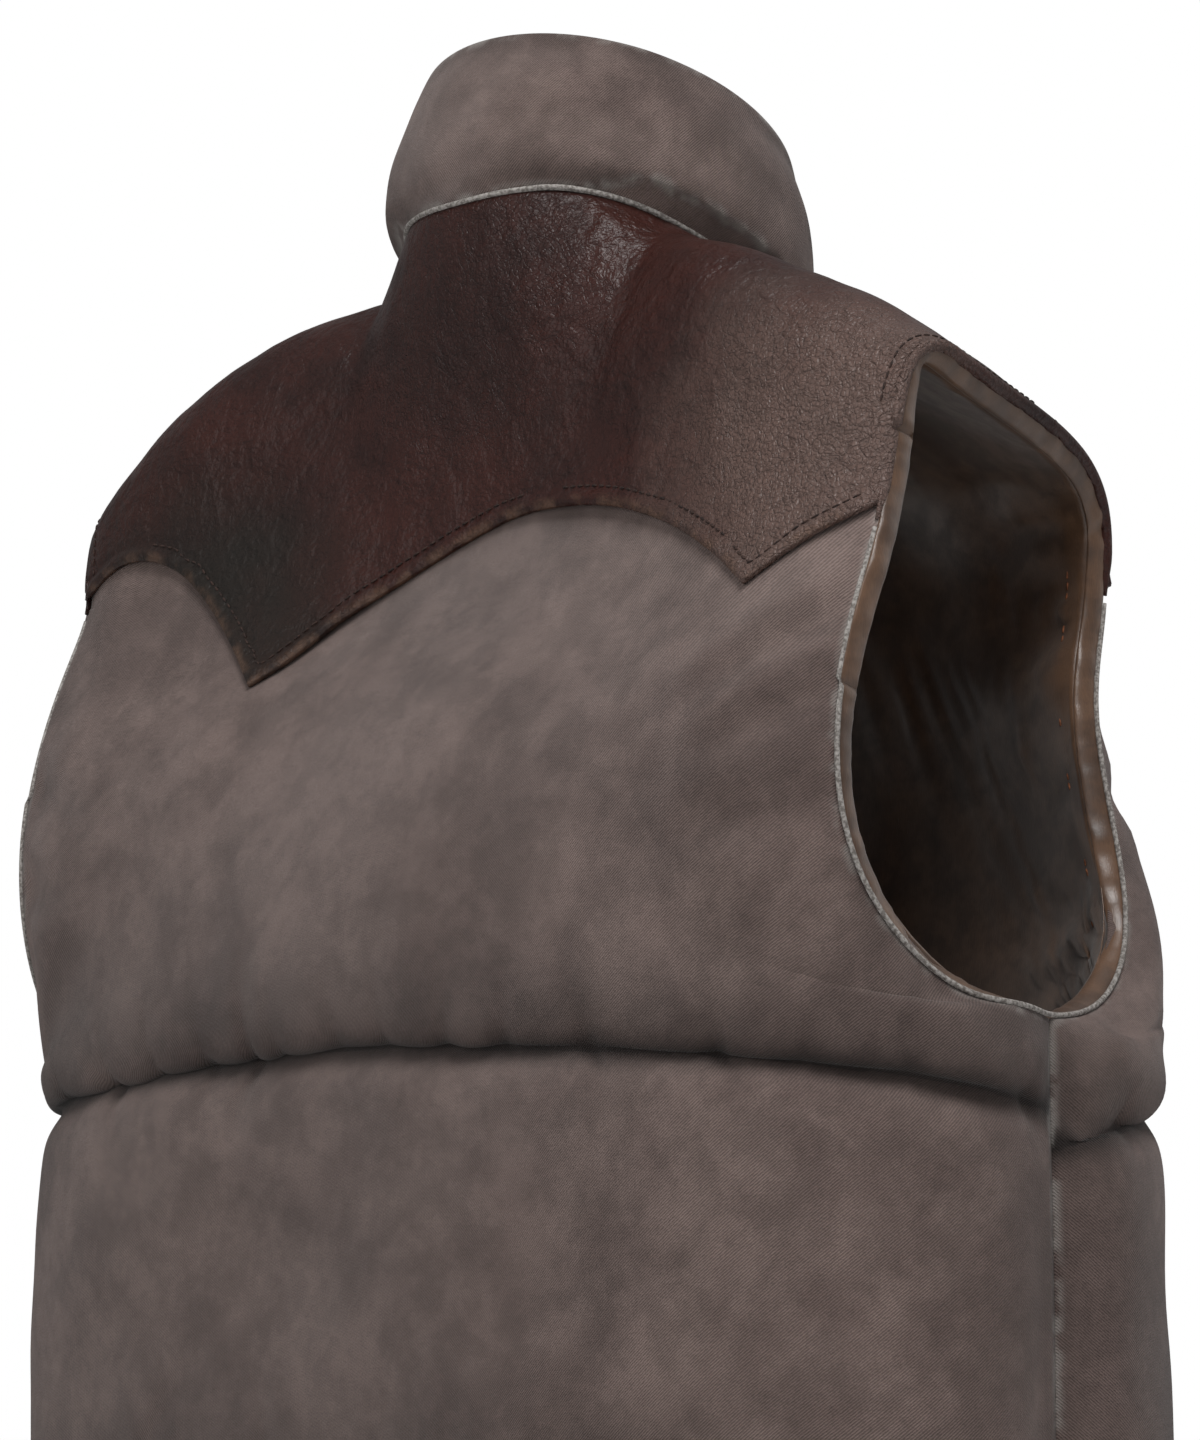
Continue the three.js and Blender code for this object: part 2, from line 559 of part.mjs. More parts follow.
// The placket: a strip down the centre front over the gap between the two fronts, made from the
// fronts' own columns next to the centre, and lifted over the leather where it crosses the yoke.
function placketGeometry() {
  const patch = new Patch();
  const nextColumn = columnsOf(FRONT)[1];
  const rowCount = rowsAt(FRONT, 1, 0).length;
  const make = (i, j) => {
    const hand = i === 0 ? -1 : 1;
    const across = i === 1 ? 0 : nextColumn;
    const rows = rowsAt(FRONT, hand, across);
    const up = clamp(rows[j], PLACKET.hemGap, FRONT.top - PLACKET.neckGap);
    const under = LAYER_GAP + (j >= YOKE_ROW ? LEATHER_WALL + YOKE_GAP : 0);
    return [
      i + ":" + j,
      outside(FRONT, hand, across, up, under + PLACKET.wall),
      outside(FRONT, hand, across, up, under),
    ];
  };
  patch.grid(3, rowCount, make, false);
  return patch.geometry();
}

// A fastened snap: a low domed disc.
function snapMesh(name, at, away) {
  const profile = [
    new THREE.Vector2(0, 0),
    new THREE.Vector2(SNAP.radius, 0),
    new THREE.Vector2(SNAP.radius, SNAP.height * 0.45),
    new THREE.Vector2(SNAP.radius * 0.7, SNAP.height * 0.9),
    new THREE.Vector2(0, SNAP.height),
  ];
  const mesh = piece(name, new THREE.LatheGeometry(profile, SNAP.facets), SNAP_METAL);
  mesh.quaternion.setFromUnitVectors(vec(0, 1, 0), away);
  mesh.position.copy(at).addScaledVector(away, SNAP.lift);
  return mesh;
}

// ---------- the vest ----------
const vest = new THREE.Group();
vest.add(piece("back_panel", panelGeometry(BACK, [1, -1], paddedPoints), TWILL));
vest.add(piece("front_left", panelGeometry(FRONT, [1], paddedPoints), TWILL));
vest.add(piece("front_right", panelGeometry(FRONT, [-1], paddedPoints), TWILL));
vest.add(piece("lining_back", panelGeometry(BACK, [1, -1], liningPoints), LINING));
vest.add(piece("lining_front_left", panelGeometry(FRONT, [1], liningPoints), LINING));
vest.add(piece("lining_front_right", panelGeometry(FRONT, [-1], liningPoints), LINING));
vest.add(piece("yoke", yokeGeometry(), LEATHER));
vest.add(piece("collar", collarGeometry(), TWILL));
vest.add(piece("placket", placketGeometry(), TWILL));
SNAP_UPS.forEach((up, i) => {
  const at = outside(FRONT, 1, 0, up, LAYER_GAP + PLACKET.wall);
  vest.add(snapMesh("snap_" + (i + 1), at, outward(FRONT, 1, 0, up)));
});

export default vest;
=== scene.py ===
# %% [markdown]
# # A down vest with a leather yoke
# The vest is worn: it is hollow and keeps the form it has on the shoulders. The frame gives each
# cut piece as one closed solid at its real size and place. This script turns those plain solids
# into cloth, leather and down, and adds the sewing.

# %% Load the frame
import math

import bmesh
import bpy
import numpy as np
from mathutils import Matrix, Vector, noise
from mathutils.bvhtree import BVHTree
from mathutils.kdtree import KDTree


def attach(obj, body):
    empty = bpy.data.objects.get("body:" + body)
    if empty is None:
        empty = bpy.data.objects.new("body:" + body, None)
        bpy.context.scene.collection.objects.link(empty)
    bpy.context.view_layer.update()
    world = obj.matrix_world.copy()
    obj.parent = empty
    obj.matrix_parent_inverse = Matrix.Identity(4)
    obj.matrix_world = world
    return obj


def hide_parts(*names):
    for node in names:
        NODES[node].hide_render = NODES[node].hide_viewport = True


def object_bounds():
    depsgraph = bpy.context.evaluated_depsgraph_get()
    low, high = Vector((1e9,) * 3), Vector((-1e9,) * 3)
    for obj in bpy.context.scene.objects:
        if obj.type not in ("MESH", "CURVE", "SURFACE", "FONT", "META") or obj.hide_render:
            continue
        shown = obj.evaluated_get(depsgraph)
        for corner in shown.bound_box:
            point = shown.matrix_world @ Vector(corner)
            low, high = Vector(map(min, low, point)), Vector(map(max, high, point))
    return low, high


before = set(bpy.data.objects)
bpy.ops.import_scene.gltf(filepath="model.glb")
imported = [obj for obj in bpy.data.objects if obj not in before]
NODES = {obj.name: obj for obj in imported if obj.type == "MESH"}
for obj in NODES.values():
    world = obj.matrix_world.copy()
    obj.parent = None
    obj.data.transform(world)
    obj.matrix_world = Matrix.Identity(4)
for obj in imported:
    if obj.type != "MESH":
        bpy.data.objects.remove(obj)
CAD_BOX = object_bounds()
MM = 0.001
print("pieces in the frame:", len(NODES), "box:", CAD_BOX)

# %% [markdown]
# ## Camera and studio
# The vest is seen from behind its right shoulder, from a little below, through a long lens. The
# camera stands on a circle round the vest's axis, so its place is an azimuth, a distance and a
# height. The studio is plain: a pale floor, a pale world, and large soft lights whose edges can't
# be seen in the cloth.

# %% Camera
CAMERA_AZIMUTH = math.radians(224.002)
CAMERA_DISTANCE = 1.6689
CAMERA_HEIGHT = -0.4629
CAMERA_YAW = math.radians(-0.278)
CAMERA_PITCH = math.radians(10.158)
LENS_MM = 117.25

camera_data = bpy.data.cameras.new("camera")
camera = bpy.data.objects.new("camera", camera_data)
bpy.context.scene.collection.objects.link(camera)
camera.location = (
    math.sin(CAMERA_AZIMUTH) * CAMERA_DISTANCE,
    -math.cos(CAMERA_AZIMUTH) * CAMERA_DISTANCE,
    CAMERA_HEIGHT,
)
heading = math.atan2(-camera.location.y, -camera.location.x) + CAMERA_YAW
camera.rotation_euler = (math.pi / 2 + CAMERA_PITCH, 0, heading - math.pi / 2)
camera_data.sensor_fit = "AUTO"
camera_data.sensor_width = 36
camera_data.lens = LENS_MM
camera_data.clip_start = 0.05
bpy.context.scene.camera = camera
print("camera at", [round(c, 3) for c in camera.location])

# %% Floor, world and lights
FLOOR_Z = CAD_BOX[0][2] - 2 * MM
bpy.ops.object.select_all(action="DESELECT")
bpy.ops.mesh.primitive_plane_add(size=8, location=(0, 0, FLOOR_Z))
floor = bpy.context.active_object
floor.name = "floor"
floor_paint = bpy.data.materials.new("floor_paint")
floor_paint.use_nodes = True
floor_shader = floor_paint.node_tree.nodes["Principled BSDF"]
floor_shader.inputs["Base Color"].default_value = (0.86, 0.86, 0.86, 1)
floor_shader.inputs["Roughness"].default_value = 0.9
floor.data.materials.append(floor_paint)

world = bpy.data.worlds.new("studio")
bpy.context.scene.world = world
world.use_nodes = True
WORLD_SEEN = 1.0
WORLD_GLOW = 0.26
sky = world.node_tree.nodes["Background"]
sky.inputs["Color"].default_value = (1, 1, 1, 1)
ray = world.node_tree.nodes.new("ShaderNodeLightPath")
glow = world.node_tree.nodes.new("ShaderNodeMapRange")
glow.inputs["To Min"].default_value = WORLD_GLOW
glow.inputs["To Max"].default_value = WORLD_SEEN
world.node_tree.links.new(ray.outputs["Is Camera Ray"], glow.inputs["Value"])
world.node_tree.links.new(glow.outputs["Result"], sky.inputs["Strength"])
bpy.context.scene.view_settings.view_transform = "Standard"


def soft_light(name, azimuth, elevation, distance, size, power):
    """A large square light that looks at the middle of the vest's upper half."""
    data = bpy.data.lights.new(name, "AREA")
    data.size = size
    data.energy = power
    light = bpy.data.objects.new(name, data)
    bpy.context.scene.collection.objects.link(light)
    aim = Vector((0, 0, -0.25))
    a, e = math.radians(azimuth), math.radians(elevation)
    way = Vector((math.sin(a) * math.cos(e), -math.cos(a) * math.cos(e), math.sin(e)))
    light.location = aim + way * distance
    light.rotation_euler = (-way).to_track_quat("-Z", "Y").to_euler()


soft_light("key", 232, 56, 2.2, 1.0, 40)
soft_light("back_fill", 175, 20, 2.6, 1.6, 13)
soft_light("front_fill", 330, 25, 2.8, 1.4, 3.5)

# %% [markdown]
# ## From solids to cloth
# Each solid is a wall made of a coarse grid. A copy of it is merged, its triangles are joined back
# into the grid's squares, and Subdivision Surface rounds it. Edges where the wall is cut keep a
# full crease, so a piece stays the size it was cut to and still meets its neighbours at the seams.
# A mark on each vertex says whether it lies on the outside (1) or the inside (0) of its wall.

# %% Copy a solid as fine cloth
MERGED_WITHIN = 0.02 * MM
CUT_ANGLE = math.radians(52)


def pick_only(obj):
    bpy.ops.object.select_all(action="DESELECT")
    obj.select_set(True)
    bpy.context.view_layer.objects.active = obj


def places(obj):
    """The vertices of a mesh as an array, a row for each."""
    flat = np.zeros(len(obj.data.vertices) * 3)
    obj.data.vertices.foreach_get("co", flat)
    return flat.reshape(-1, 3)


def set_places(obj, points):
    obj.data.vertices.foreach_set("co", np.ascontiguousarray(points, dtype=np.float32).ravel())
    obj.data.update()


def normals(obj):
    flat = np.zeros(len(obj.data.vertices) * 3, np.float32)
    obj.data.vertex_normals.foreach_get("vector", flat)
    return flat.reshape(-1, 3).astype(float)


def mark(obj, name, values):
    layer = obj.data.attributes.get(name) or obj.data.attributes.new(name, "FLOAT", "POINT")
    layer.data.foreach_set("value", np.ascontiguousarray(values, dtype=np.float32))


def read_mark(obj, name):
    values = np.zeros(len(obj.data.vertices), np.float32)
    obj.data.attributes[name].data.foreach_get("value", values)
    return values.astype(float)


def surface_of(*objects):
    """A search tree over the meshes of several objects."""
    points, polygons = [], []
    for obj in objects:
        start = len(points)
        points.extend(v.co.copy() for v in obj.data.vertices)
        polygons.extend([start + i for i in p.vertices] for p in obj.data.polygons)
    return BVHTree.FromPolygons(points, polygons)


def gap_to(tree, points):
    return np.array([tree.find_nearest(Vector(p))[3] for p in points])


def drop_on(tree, points):
    """The nearest places on a surface, and its normals there."""
    found = [tree.find_nearest(Vector(p)) for p in points]
    return np.array([f[0][:] for f in found]), np.array([f[1][:] for f in found])


def merged_copy(node, name):
    obj = bpy.data.objects.new(name, NODES[node].data.copy())
    bpy.context.scene.collection.objects.link(obj)
    obj.data.materials.clear()
    pick_only(obj)
    bpy.ops.object.mode_set(mode="EDIT")
    bpy.ops.mesh.select_all(action="SELECT")
    bpy.ops.mesh.remove_doubles(threshold=MERGED_WITHIN)
    bpy.ops.mesh.tris_convert_to_quads(face_threshold=math.pi, shape_threshold=math.pi)
    bpy.ops.object.mode_set(mode="OBJECT")
    return obj


def crease_cuts(obj):
    """Full creases on the edges where a wall is cut."""
    mesh = bmesh.new()
    mesh.from_mesh(obj.data)
    crease = mesh.edges.layers.float.get("crease_edge") or mesh.edges.layers.float.new("crease_edge")
    side = mesh.verts.layers.float["outer"]
    for edge in mesh.edges:
        sides = {round(v[side]) for face in edge.link_faces for v in face.verts}
        is_cut = len(sides) > 1 and edge.verts[0][side] == edge.verts[1][side]
        is_corner = len(sides) > 1 and edge.calc_face_angle(0) > CUT_ANGLE
        edge[crease] = 1.0 if is_cut or is_corner else 0.0
    mesh.to_mesh(obj.data)
    mesh.free()


def subdivide(obj, levels):
    pick_only(obj)
    rounding = obj.modifiers.new("rounding", "SUBSURF")
    rounding.levels = levels
    rounding.render_levels = levels
    bpy.ops.object.modifier_apply(modifier=rounding.name)


def fine_cloth(node, name, levels, tell_outer):
    """The cloth of one node: tell_outer says which of its vertices lie on the outside."""
    obj = merged_copy(node, name)
    mark(obj, "outer", tell_outer(obj))
    crease_cuts(obj)
    subdivide(obj, levels)
    area_outside(obj)
    share = np.mean(read_mark(obj, "outer") > 0.5)
    print(name, "faces", len(obj.data.polygons), "outer share", round(float(share), 2))
    return obj


# %% [markdown]
# ## Which side is out
# A padded panel's inner side lies just off its lining, and a lining's outer side just off its
# panel, so the gap to the neighbour tells the sides apart. The yoke is thin all over, so there the
# way to the panels, held against a vertex's own normal, tells them. The collar has no neighbour,
# and its sides are told by the distance from its axis.

# %% Cut the cloth
COLLAR_AXIS_Y = -0.013
COLLAR_SLICE = 0.06
COLLAR_LEVEL = 14 * MM
NEAR_LINING = 2.0 * MM
PANELS = {
    "back_panel": "lining_back", "front_left": "lining_front_left", "front_right": "lining_front_right",
}
cloth = {}


def area_outside(obj):
    """The area of a piece's outer side, before it is shaped."""
    outer = read_mark(obj, "outer") > 0.5
    return sum(p.area for p in obj.data.polygons if all(outer[v] for v in p.vertices))


def looks_away(*neighbours):
    """Tells the vertices whose normals point away from the neighbours."""
    tree = surface_of(*neighbours)

    def tell(obj):
        points = places(obj)
        near, _ = drop_on(tree, points)
        return ((points - near) * normals(obj)).sum(axis=1) > 0

    return tell


for panel, lining in PANELS.items():
    lining_tree = surface_of(NODES[lining])
    panel_tree = surface_of(NODES[panel])
    cloth[panel] = fine_cloth(
        panel, panel + "_cloth", 3, lambda obj, t=lining_tree: gap_to(t, places(obj)) > NEAR_LINING
    )
    cloth[lining] = fine_cloth(
        lining, lining + "_satin", 2, lambda obj, t=panel_tree: gap_to(t, places(obj)) < NEAR_LINING
    )

cloth["yoke"] = fine_cloth("yoke", "yoke_leather", 3, looks_away(*(NODES[p] for p in PANELS)))


def round_collar(points):
    """The turn round the collar's axis, 0 at the back, and the distance from the axis."""
    turn = np.arctan2(points[:, 0], points[:, 1] - COLLAR_AXIS_Y)
    return turn, np.hypot(points[:, 0], points[:, 1] - COLLAR_AXIS_Y)


def turn_between(turns, angle):
    return np.abs(np.angle(np.exp(1j * (turns - angle))))


def outside_of_collar(obj):
    """Sorts the collar's vertices by their distance from the ring half way through its wall."""
    points = places(obj)
    turn, reach = round_collar(points)
    outer = np.zeros(len(points), bool)
    for i, (angle, distance) in enumerate(zip(turn, reach)):
        alike = turn_between(turn, angle) < COLLAR_SLICE
        close = alike & (np.abs(points[:, 2] - points[i, 2]) < COLLAR_LEVEL)
        outer[i] = distance > 0.5 * (reach[close].min() + reach[close].max())
    return outer


cloth["collar"] = fine_cloth("collar", "collar_cloth", 3, outside_of_collar)
print({name: len(obj.data.vertices) for name, obj in cloth.items()})

# %% [markdown]
# ## Where the cloth is cut and sewn
# The sewing follows the cut edges, so these are read back from the fine cloth: an outside vertex
# with a neighbour that isn't outside lies on a cut. The edges between such vertices are chained
# into loops, and each stretch is named by what it lies next to.

# %% Read the cut edges
SHORTEST_RUN = 9
LOWER_EDGE_GAP = 6 * MM


def edge_ends(obj):
    flat = np.zeros(len(obj.data.edges) * 2, np.int32)
    obj.data.edges.foreach_get("vertices", flat)
    return flat.reshape(-1, 2)


def cut_vertices(obj):
    """The outside vertices along a piece's cut edges."""
    outer = read_mark(obj, "outer") > 0.99
    ends = edge_ends(obj)
    near_inside = np.zeros(len(outer), bool)
    for one, other in ((0, 1), (1, 0)):
        near_inside[ends[~outer[ends[:, other]], one]] = True
    return np.flatnonzero(outer & near_inside)


def chains(obj, vertices):
    """The given vertices joined up along the mesh's edges into ordered runs."""
    chosen = set(int(v) for v in vertices)
    beside = {v: [] for v in chosen}
    for a, b in edge_ends(obj):
        if int(a) in chosen and int(b) in chosen:
            beside[int(a)].append(int(b))
            beside[int(b)].append(int(a))
    ends_first = sorted(chosen, key=lambda v: (len(beside[v]) != 1, v))
    done, runs = set(), []
    for start in ends_first:
        if start in done:
            continue
        run = [start]
        done.add(start)
        while True:
            ahead = [v for v in beside[run[-1]] if v not in done]
            if not ahead:
                break
            run.append(ahead[0])
            done.add(ahead[0])
        runs.append(run)
    return [run for run in runs if len(run) >= SHORTEST_RUN]


def resample(points, step, closed=False):
    """Points at even steps along a line."""
    line = np.vstack([points, points[:1]]) if closed else np.asarray(points)
    lengths = np.concatenate([[0], np.cumsum(np.linalg.norm(np.diff(line, axis=0), axis=1))])
    count = max(int(round(lengths[-1] / step)), 2)
    at = np.linspace(0, lengths[-1], count + 1)
    if closed:
        at = at[:-1]
    return np.stack([np.interp(at, lengths, line[:, k]) for k in range(3)], axis=1)


def tree_of(points):
    """A search tree over single places."""
    tree = KDTree(len(points))
    for i, p in enumerate(points):
        tree.insert(p, i)
    tree.balance()
    return tree


def nearest(tree, points):
    """The number of the place in the tree that is nearest to each point, and its distance."""
    found = [tree.find(p) for p in points]
    return np.array([f[1] for f in found]), np.array([f[2] for f in found])


def nearest_gap(points, line):
    """How far each point is from the nearest point of a line."""
    return nearest(tree_of(line), points)[1]


cuts = {name: places(obj)[cut_vertices(obj)] for name, obj in cloth.items()}
panel_cuts = np.vstack([cuts[p] for p in PANELS])
yoke_cut = cut_vertices(cloth["yoke"])
yoke_cut_places = places(cloth["yoke"])[yoke_cut]
lower = nearest_gap(yoke_cut_places, panel_cuts) > LOWER_EDGE_GAP
yoke_lower_runs = [places(cloth["yoke"])[run] for run in chains(cloth["yoke"], yoke_cut[lower])]
print("yoke's lower edge:", [len(run) for run in yoke_lower_runs])
yoke_lower = np.vstack(yoke_lower_runs)
for run in yoke_lower_runs:
    print("  from", (run[0] / MM).round(0), "to", (run[-1] / MM).round(0))

# %% Armhole edges
ARMHOLE_MIDDLE_Z = -180 * MM
ARM_X = 150 * MM
ARM_LOWEST = -500 * MM
SEWN_GAP = 2.2 * MM
EDGE_STEP = 3 * MM


def turn_at_armhole(points):
    """The turn round the armhole's middle as seen from the side, 0 at the top."""
    return np.arctan2(points[:, 1], points[:, 2] - ARMHOLE_MIDDLE_Z)


def armhole_line(hand):
    """The armhole's outer edge, sorted round its middle as seen from the side, top first."""
    found = []
    for panel in PANELS:
        others = surface_of(*(NODES[p] for p in PANELS if p != panel))
        points = cuts[panel]
        points = points[(points[:, 0] * hand > ARM_X) & (points[:, 2] > ARM_LOWEST)]
        found.append(points[gap_to(others, points) > SEWN_GAP])
    points = np.vstack(found)
    return resample(points[np.argsort(turn_at_armhole(points))], EDGE_STEP, closed=True)


armholes = {"left": armhole_line(1), "right": armhole_line(-1)}
arm_edges = np.vstack(list(armholes.values()))
for side, line in armholes.items():
    print(side, "armhole:", len(line), line.min(axis=0).round(3), line.max(axis=0).round(3))

# %% [markdown]
# ## Down in the panels
# Down fills each stretch between the quilting lines like a pillow, and sags in it, so the cloth
# above a line hangs over it. The stitches hold the cloth at uneven steps, and from each hold a
# short pucker runs up and down. Cloth simulation could do this, but it would round off the cut
# edges and seams, so the form is moved along the surface's normals instead.

# %% Small curves for shaping
BODY_RADIUS = 200 * MM


def ease(values):
    t = np.clip(values, 0, 1)
    return t * t * (3 - 2 * t)


def waves(points, size, seed):
    """Smooth noise between about -1 and 1, in lumps of the given size."""
    shift = Vector((seed * 7.3, seed * 3.1, seed * 5.7))
    return np.array([noise.noise(Vector(p) / size + shift) for p in points]) * 1.6


def lumps(points, sizes):
    """Noise of several sizes added up: each row has a size, a depth and a seed."""
    return sum(depth * waves(points, size, seed) for size, depth, seed in sizes)


def along_body(panel, points):
    """Length round the body from its centre line, for points of one panel."""
    facing = 1 if panel == "back_panel" else -1
    return np.arctan2(points[:, 0], facing * points[:, 1]) * BODY_RADIUS


# %% Find the quilting lines
QUILT_GAP = (9.2 * MM, 10.8 * MM)
QUILT_WIDTH = 185 * MM
QUILT_WINDOWS = {"high": (-335 * MM, -270 * MM), "low": (-478 * MM, -428 * MM)}


def quilt_curves(panel):
    """Height of each quilting line over the length round the body, where the solid is thin."""
    points = places(NODES[panel])
    gaps = gap_to(surface_of(NODES[PANELS[panel]]), points)
    thin = (gaps > QUILT_GAP[0]) & (gaps < QUILT_GAP[1]) & (np.abs(points[:, 0]) < QUILT_WIDTH)
    curves = {}
    for name, (low, high) in QUILT_WINDOWS.items():
        chosen = points[thin & (points[:, 2] > low) & (points[:, 2] < high)]
        curves[name] = np.poly1d(np.polyfit(along_body(panel, chosen), chosen[:, 2], 3))
        middle = round(float(curves[name](0)), 4)
        print(panel, name, "quilting line from", len(chosen), "points, middle", middle)
    return curves


# %% Fill the panels
PUCKER_STEP = (17 * MM, 52 * MM)
PUCKER_DEPTH = 3.6 * MM
PUCKER_WIDTH = 4.2 * MM
PUCKER_REACH = {"above": 20 * MM, "below": 12 * MM}
PUCKER_BEND = 60 * MM
SAG = 7.0 * MM
SAG_REACH = 9 * MM
BILLOWS = [(95 * MM, 2.6 * MM), (42 * MM, 0.9 * MM)]
SEAM_FADE = 14 * MM
BULGE = 2.4 * MM
HEAVY_SIZE = 70 * MM
SHADE_START = -2 * MM
MOST_HOLDS = 40
FAR = 1.0


def scallops(along, holds):
    """0 at each hold on a quilting line and 1 half way between two of them."""
    i = np.clip(np.searchsorted(holds, along) - 1, 0, len(holds) - 2)
    t = np.clip((along - holds[i]) / (holds[i + 1] - holds[i]), 0, 1)
    return (4 * t * (1 - t)) ** 0.6


def puckers(along, height, holds, strengths, slants):
    """Short troughs that run away from each hold and fade, the deep ones further."""
    total = np.zeros(len(along))
    for hold, strength, slant in zip(holds, strengths, slants):
        reach = np.where(height > 0, PUCKER_REACH["above"], PUCKER_REACH["below"]) * (0.3 + strength)
        bend = slant * height * (1 + np.abs(height) / PUCKER_BEND)
        across = (along - hold - bend) / (PUCKER_WIDTH * (0.7 + strength * np.abs(height) / reach))
        total += strength * np.exp(-across ** 2 - np.abs(height) / reach)
    return np.minimum(total, 1.2)


def fill_with_down(panel, seed):
    obj = cloth[panel]
    points, out = places(obj), normals(obj)
    along = along_body(panel, points)
    seam_gap = nearest_gap(points, cuts[panel])
    free = ease(seam_gap / SEAM_FADE) * read_mark(obj, "outer")
    lift = lumps(points, [(size, depth, seed + i) for i, (size, depth) in enumerate(BILLOWS)])
    drop = np.zeros(len(points))
    line_gap = np.full(len(points), FAR)
    hang = np.full(len(points), FAR)
    chance = np.random.default_rng(seed)
    for curve in quilt_curves(panel).values():
        steps = chance.uniform(*PUCKER_STEP, MOST_HOLDS)
        holds = np.cumsum(steps) - steps.sum() / 2
        strengths = chance.uniform(0.1, 1.0, MOST_HOLDS) ** 1.6
        slants = chance.uniform(-0.9, 0.9, MOST_HOLDS)
        height = points[:, 2] - curve(along)
        hanging = np.clip(height / SAG_REACH, 0, None)
        hanging = hanging * np.exp(1 - hanging)
        arch = scallops(along, holds)
        heavy = (0.75 + 0.35 * waves(points * [1, 1, 0], HEAVY_SIZE, seed + 5)) * (height > 0)
        drop += SAG * hanging * (0.5 + 0.5 * arch) * heavy
        lift += BULGE * hanging * (0.6 + 0.4 * arch) * heavy
        lift -= PUCKER_DEPTH * puckers(along, height, holds, strengths, slants)
        line_gap = np.minimum(line_gap, np.abs(height))
        hang = np.minimum(hang, np.where(height > SHADE_START, np.abs(height), FAR))
    points = points + out * (lift * free)[:, None]
    points[:, 2] -= drop * free
    set_places(obj, points)
    mark(obj, "line_gap", line_gap)
    mark(obj, "hang", hang)
    mark(obj, "seam_gap", seam_gap)
    print(panel, "moved by at most", round(float(np.abs(lift * free).max() / MM), 1), "mm")


for number, panel in enumerate(PANELS):
    fill_with_down(panel, 11 + number * 10)

# %% Folds by the armholes and the front crease
HAND_FOLD_FADE = 6 * MM
HAND_FOLD_REACH = 45 * MM
# Each runs from one place to another on the garment, in millimetres.
HAND_FOLDS = [
    {"from": (-208, 84, -158), "to": (-150, 112, -186), "deep": 2.6, "wide": 6.5},
    {"from": (-206, 88, -188), "to": (-160, 116, -206), "deep": 2.0, "wide": 6},
    {"from": (-204, 90, -226), "to": (-150, 121, -232), "deep": 2.4, "wide": 8},
    {"from": (206, 86, -172), "to": (152, 114, -200), "deep": 2.2, "wide": 7},
    {"from": (205, 90, -214), "to": (158, 119, -226), "deep": 2.4, "wide": 7},
    {"from": (-222, -30, -292), "to": (-196, -85, -300), "deep": 2.6, "wide": 7},
    {"from": (-190, -76, -200), "to": (-140, -110, -222), "deep": 2.0, "wide": 7},
    {"from": (222, -26, -296), "to": (192, -88, -306), "deep": 2.2, "wide": 8},
    {"from": (190, -74, -188), "to": (136, -110, -214), "deep": 2.2, "wide": 6},
]


def fold(obj, row):
    """A soft trough with a low swell on each side, which fades at both ends."""
    points, out = places(obj), normals(obj)
    start = np.array(row["from"]) * MM
    way = np.array(row["to"]) * MM - start
    t = ((points - start) @ way) / (way @ way)
    aside = np.linalg.norm(points - start - np.clip(t, 0, 1)[:, None] * way, axis=1)
    away = aside / (row["wide"] * MM)
    form = -np.exp(-away ** 2) + 0.45 * np.exp(-((away - 2) ** 2))
    ends = ease((t + 0.35) / 0.35) * ease((1.35 - t) / 0.6)
    lift = row["deep"] * MM * form * ends * read_mark(obj, "outer")
    lift *= ease(read_mark(obj, "seam_gap") / HAND_FOLD_FADE) * (aside < HAND_FOLD_REACH)
    set_places(obj, points + out * lift[:, None])


for row in HAND_FOLDS:
    front = "front_left" if row["from"][0] > 0 else "front_right"
    fold(cloth["back_panel" if row["from"][1] > 0 else front], row)
print("folds placed by hand:", len(HAND_FOLDS))

# %% [markdown]
# ## Leather yoke
# The yoke is one thin skin of leather on the panels. Leather doesn't follow every hollow, so each
# of its vertices is drawn towards its neighbours behind the shoulders, and the padding and the
# lining under it move with it. The padded cloth is then pressed in, so that it never shows through.
# The yoke's edge is turned under and topstitched, so it is a little raised, with a shallow groove
# where the thread pulls it down.

# %% Relax the leather over the shoulders
RELAX_TIMES = 110
RELAX_START = 3 * MM
RELAX_BEHIND = 30 * MM
RELAX_WHOLE = 26 * MM
RELAX_MOST = 0.9


def relax(obj, freedom, times):
    """Draws each vertex towards the middle of its neighbours, as far as its freedom lets it."""
    points = places(obj)
    ends = edge_ends(obj)
    count = len(points)
    beside = np.bincount(ends.ravel(), minlength=count)[:, None]
    for _ in range(times):
        total = np.stack([
            np.bincount(ends[:, 0], points[ends[:, 1], k], count)
            + np.bincount(ends[:, 1], points[ends[:, 0], k], count)
            for k in range(3)
        ], axis=1)
        points = points + (total / beside - points) * freedom[:, None]
    return points


obj = cloth["yoke"]
start = places(obj)
freedom = RELAX_MOST * ease((nearest_gap(start, start[yoke_cut]) - RELAX_START) / RELAX_WHOLE)
freedom *= ease((start[:, 1] - RELAX_BEHIND) / (2 * RELAX_WHOLE))
set_places(obj, relax(obj, freedom, RELAX_TIMES))
moves = places(obj) - start
print("leather relaxed by at most", round(float(np.linalg.norm(moves, axis=1).max() / MM), 1), "mm")

# %% Let the padded cloth and the linings follow the leather over them
COVERED = (5 * MM, 11 * MM)
INNER_FOLLOWS = (22 * MM, 44 * MM)
LINING_FOLLOWS = (22 * MM, 45 * MM)
PRESSED = 1.3 * MM
LOWER_RIM = (3 * MM, 10 * MM)
yoke_outside = np.flatnonzero(read_mark(obj, "outer") > 0.99)
start_tree = tree_of(start[yoke_outside])


def fading(gap, near_far):
    """1 nearer than the first distance and 0 past the second."""
    return 1 - ease((gap - near_far[0]) / (near_far[1] - near_far[0]))


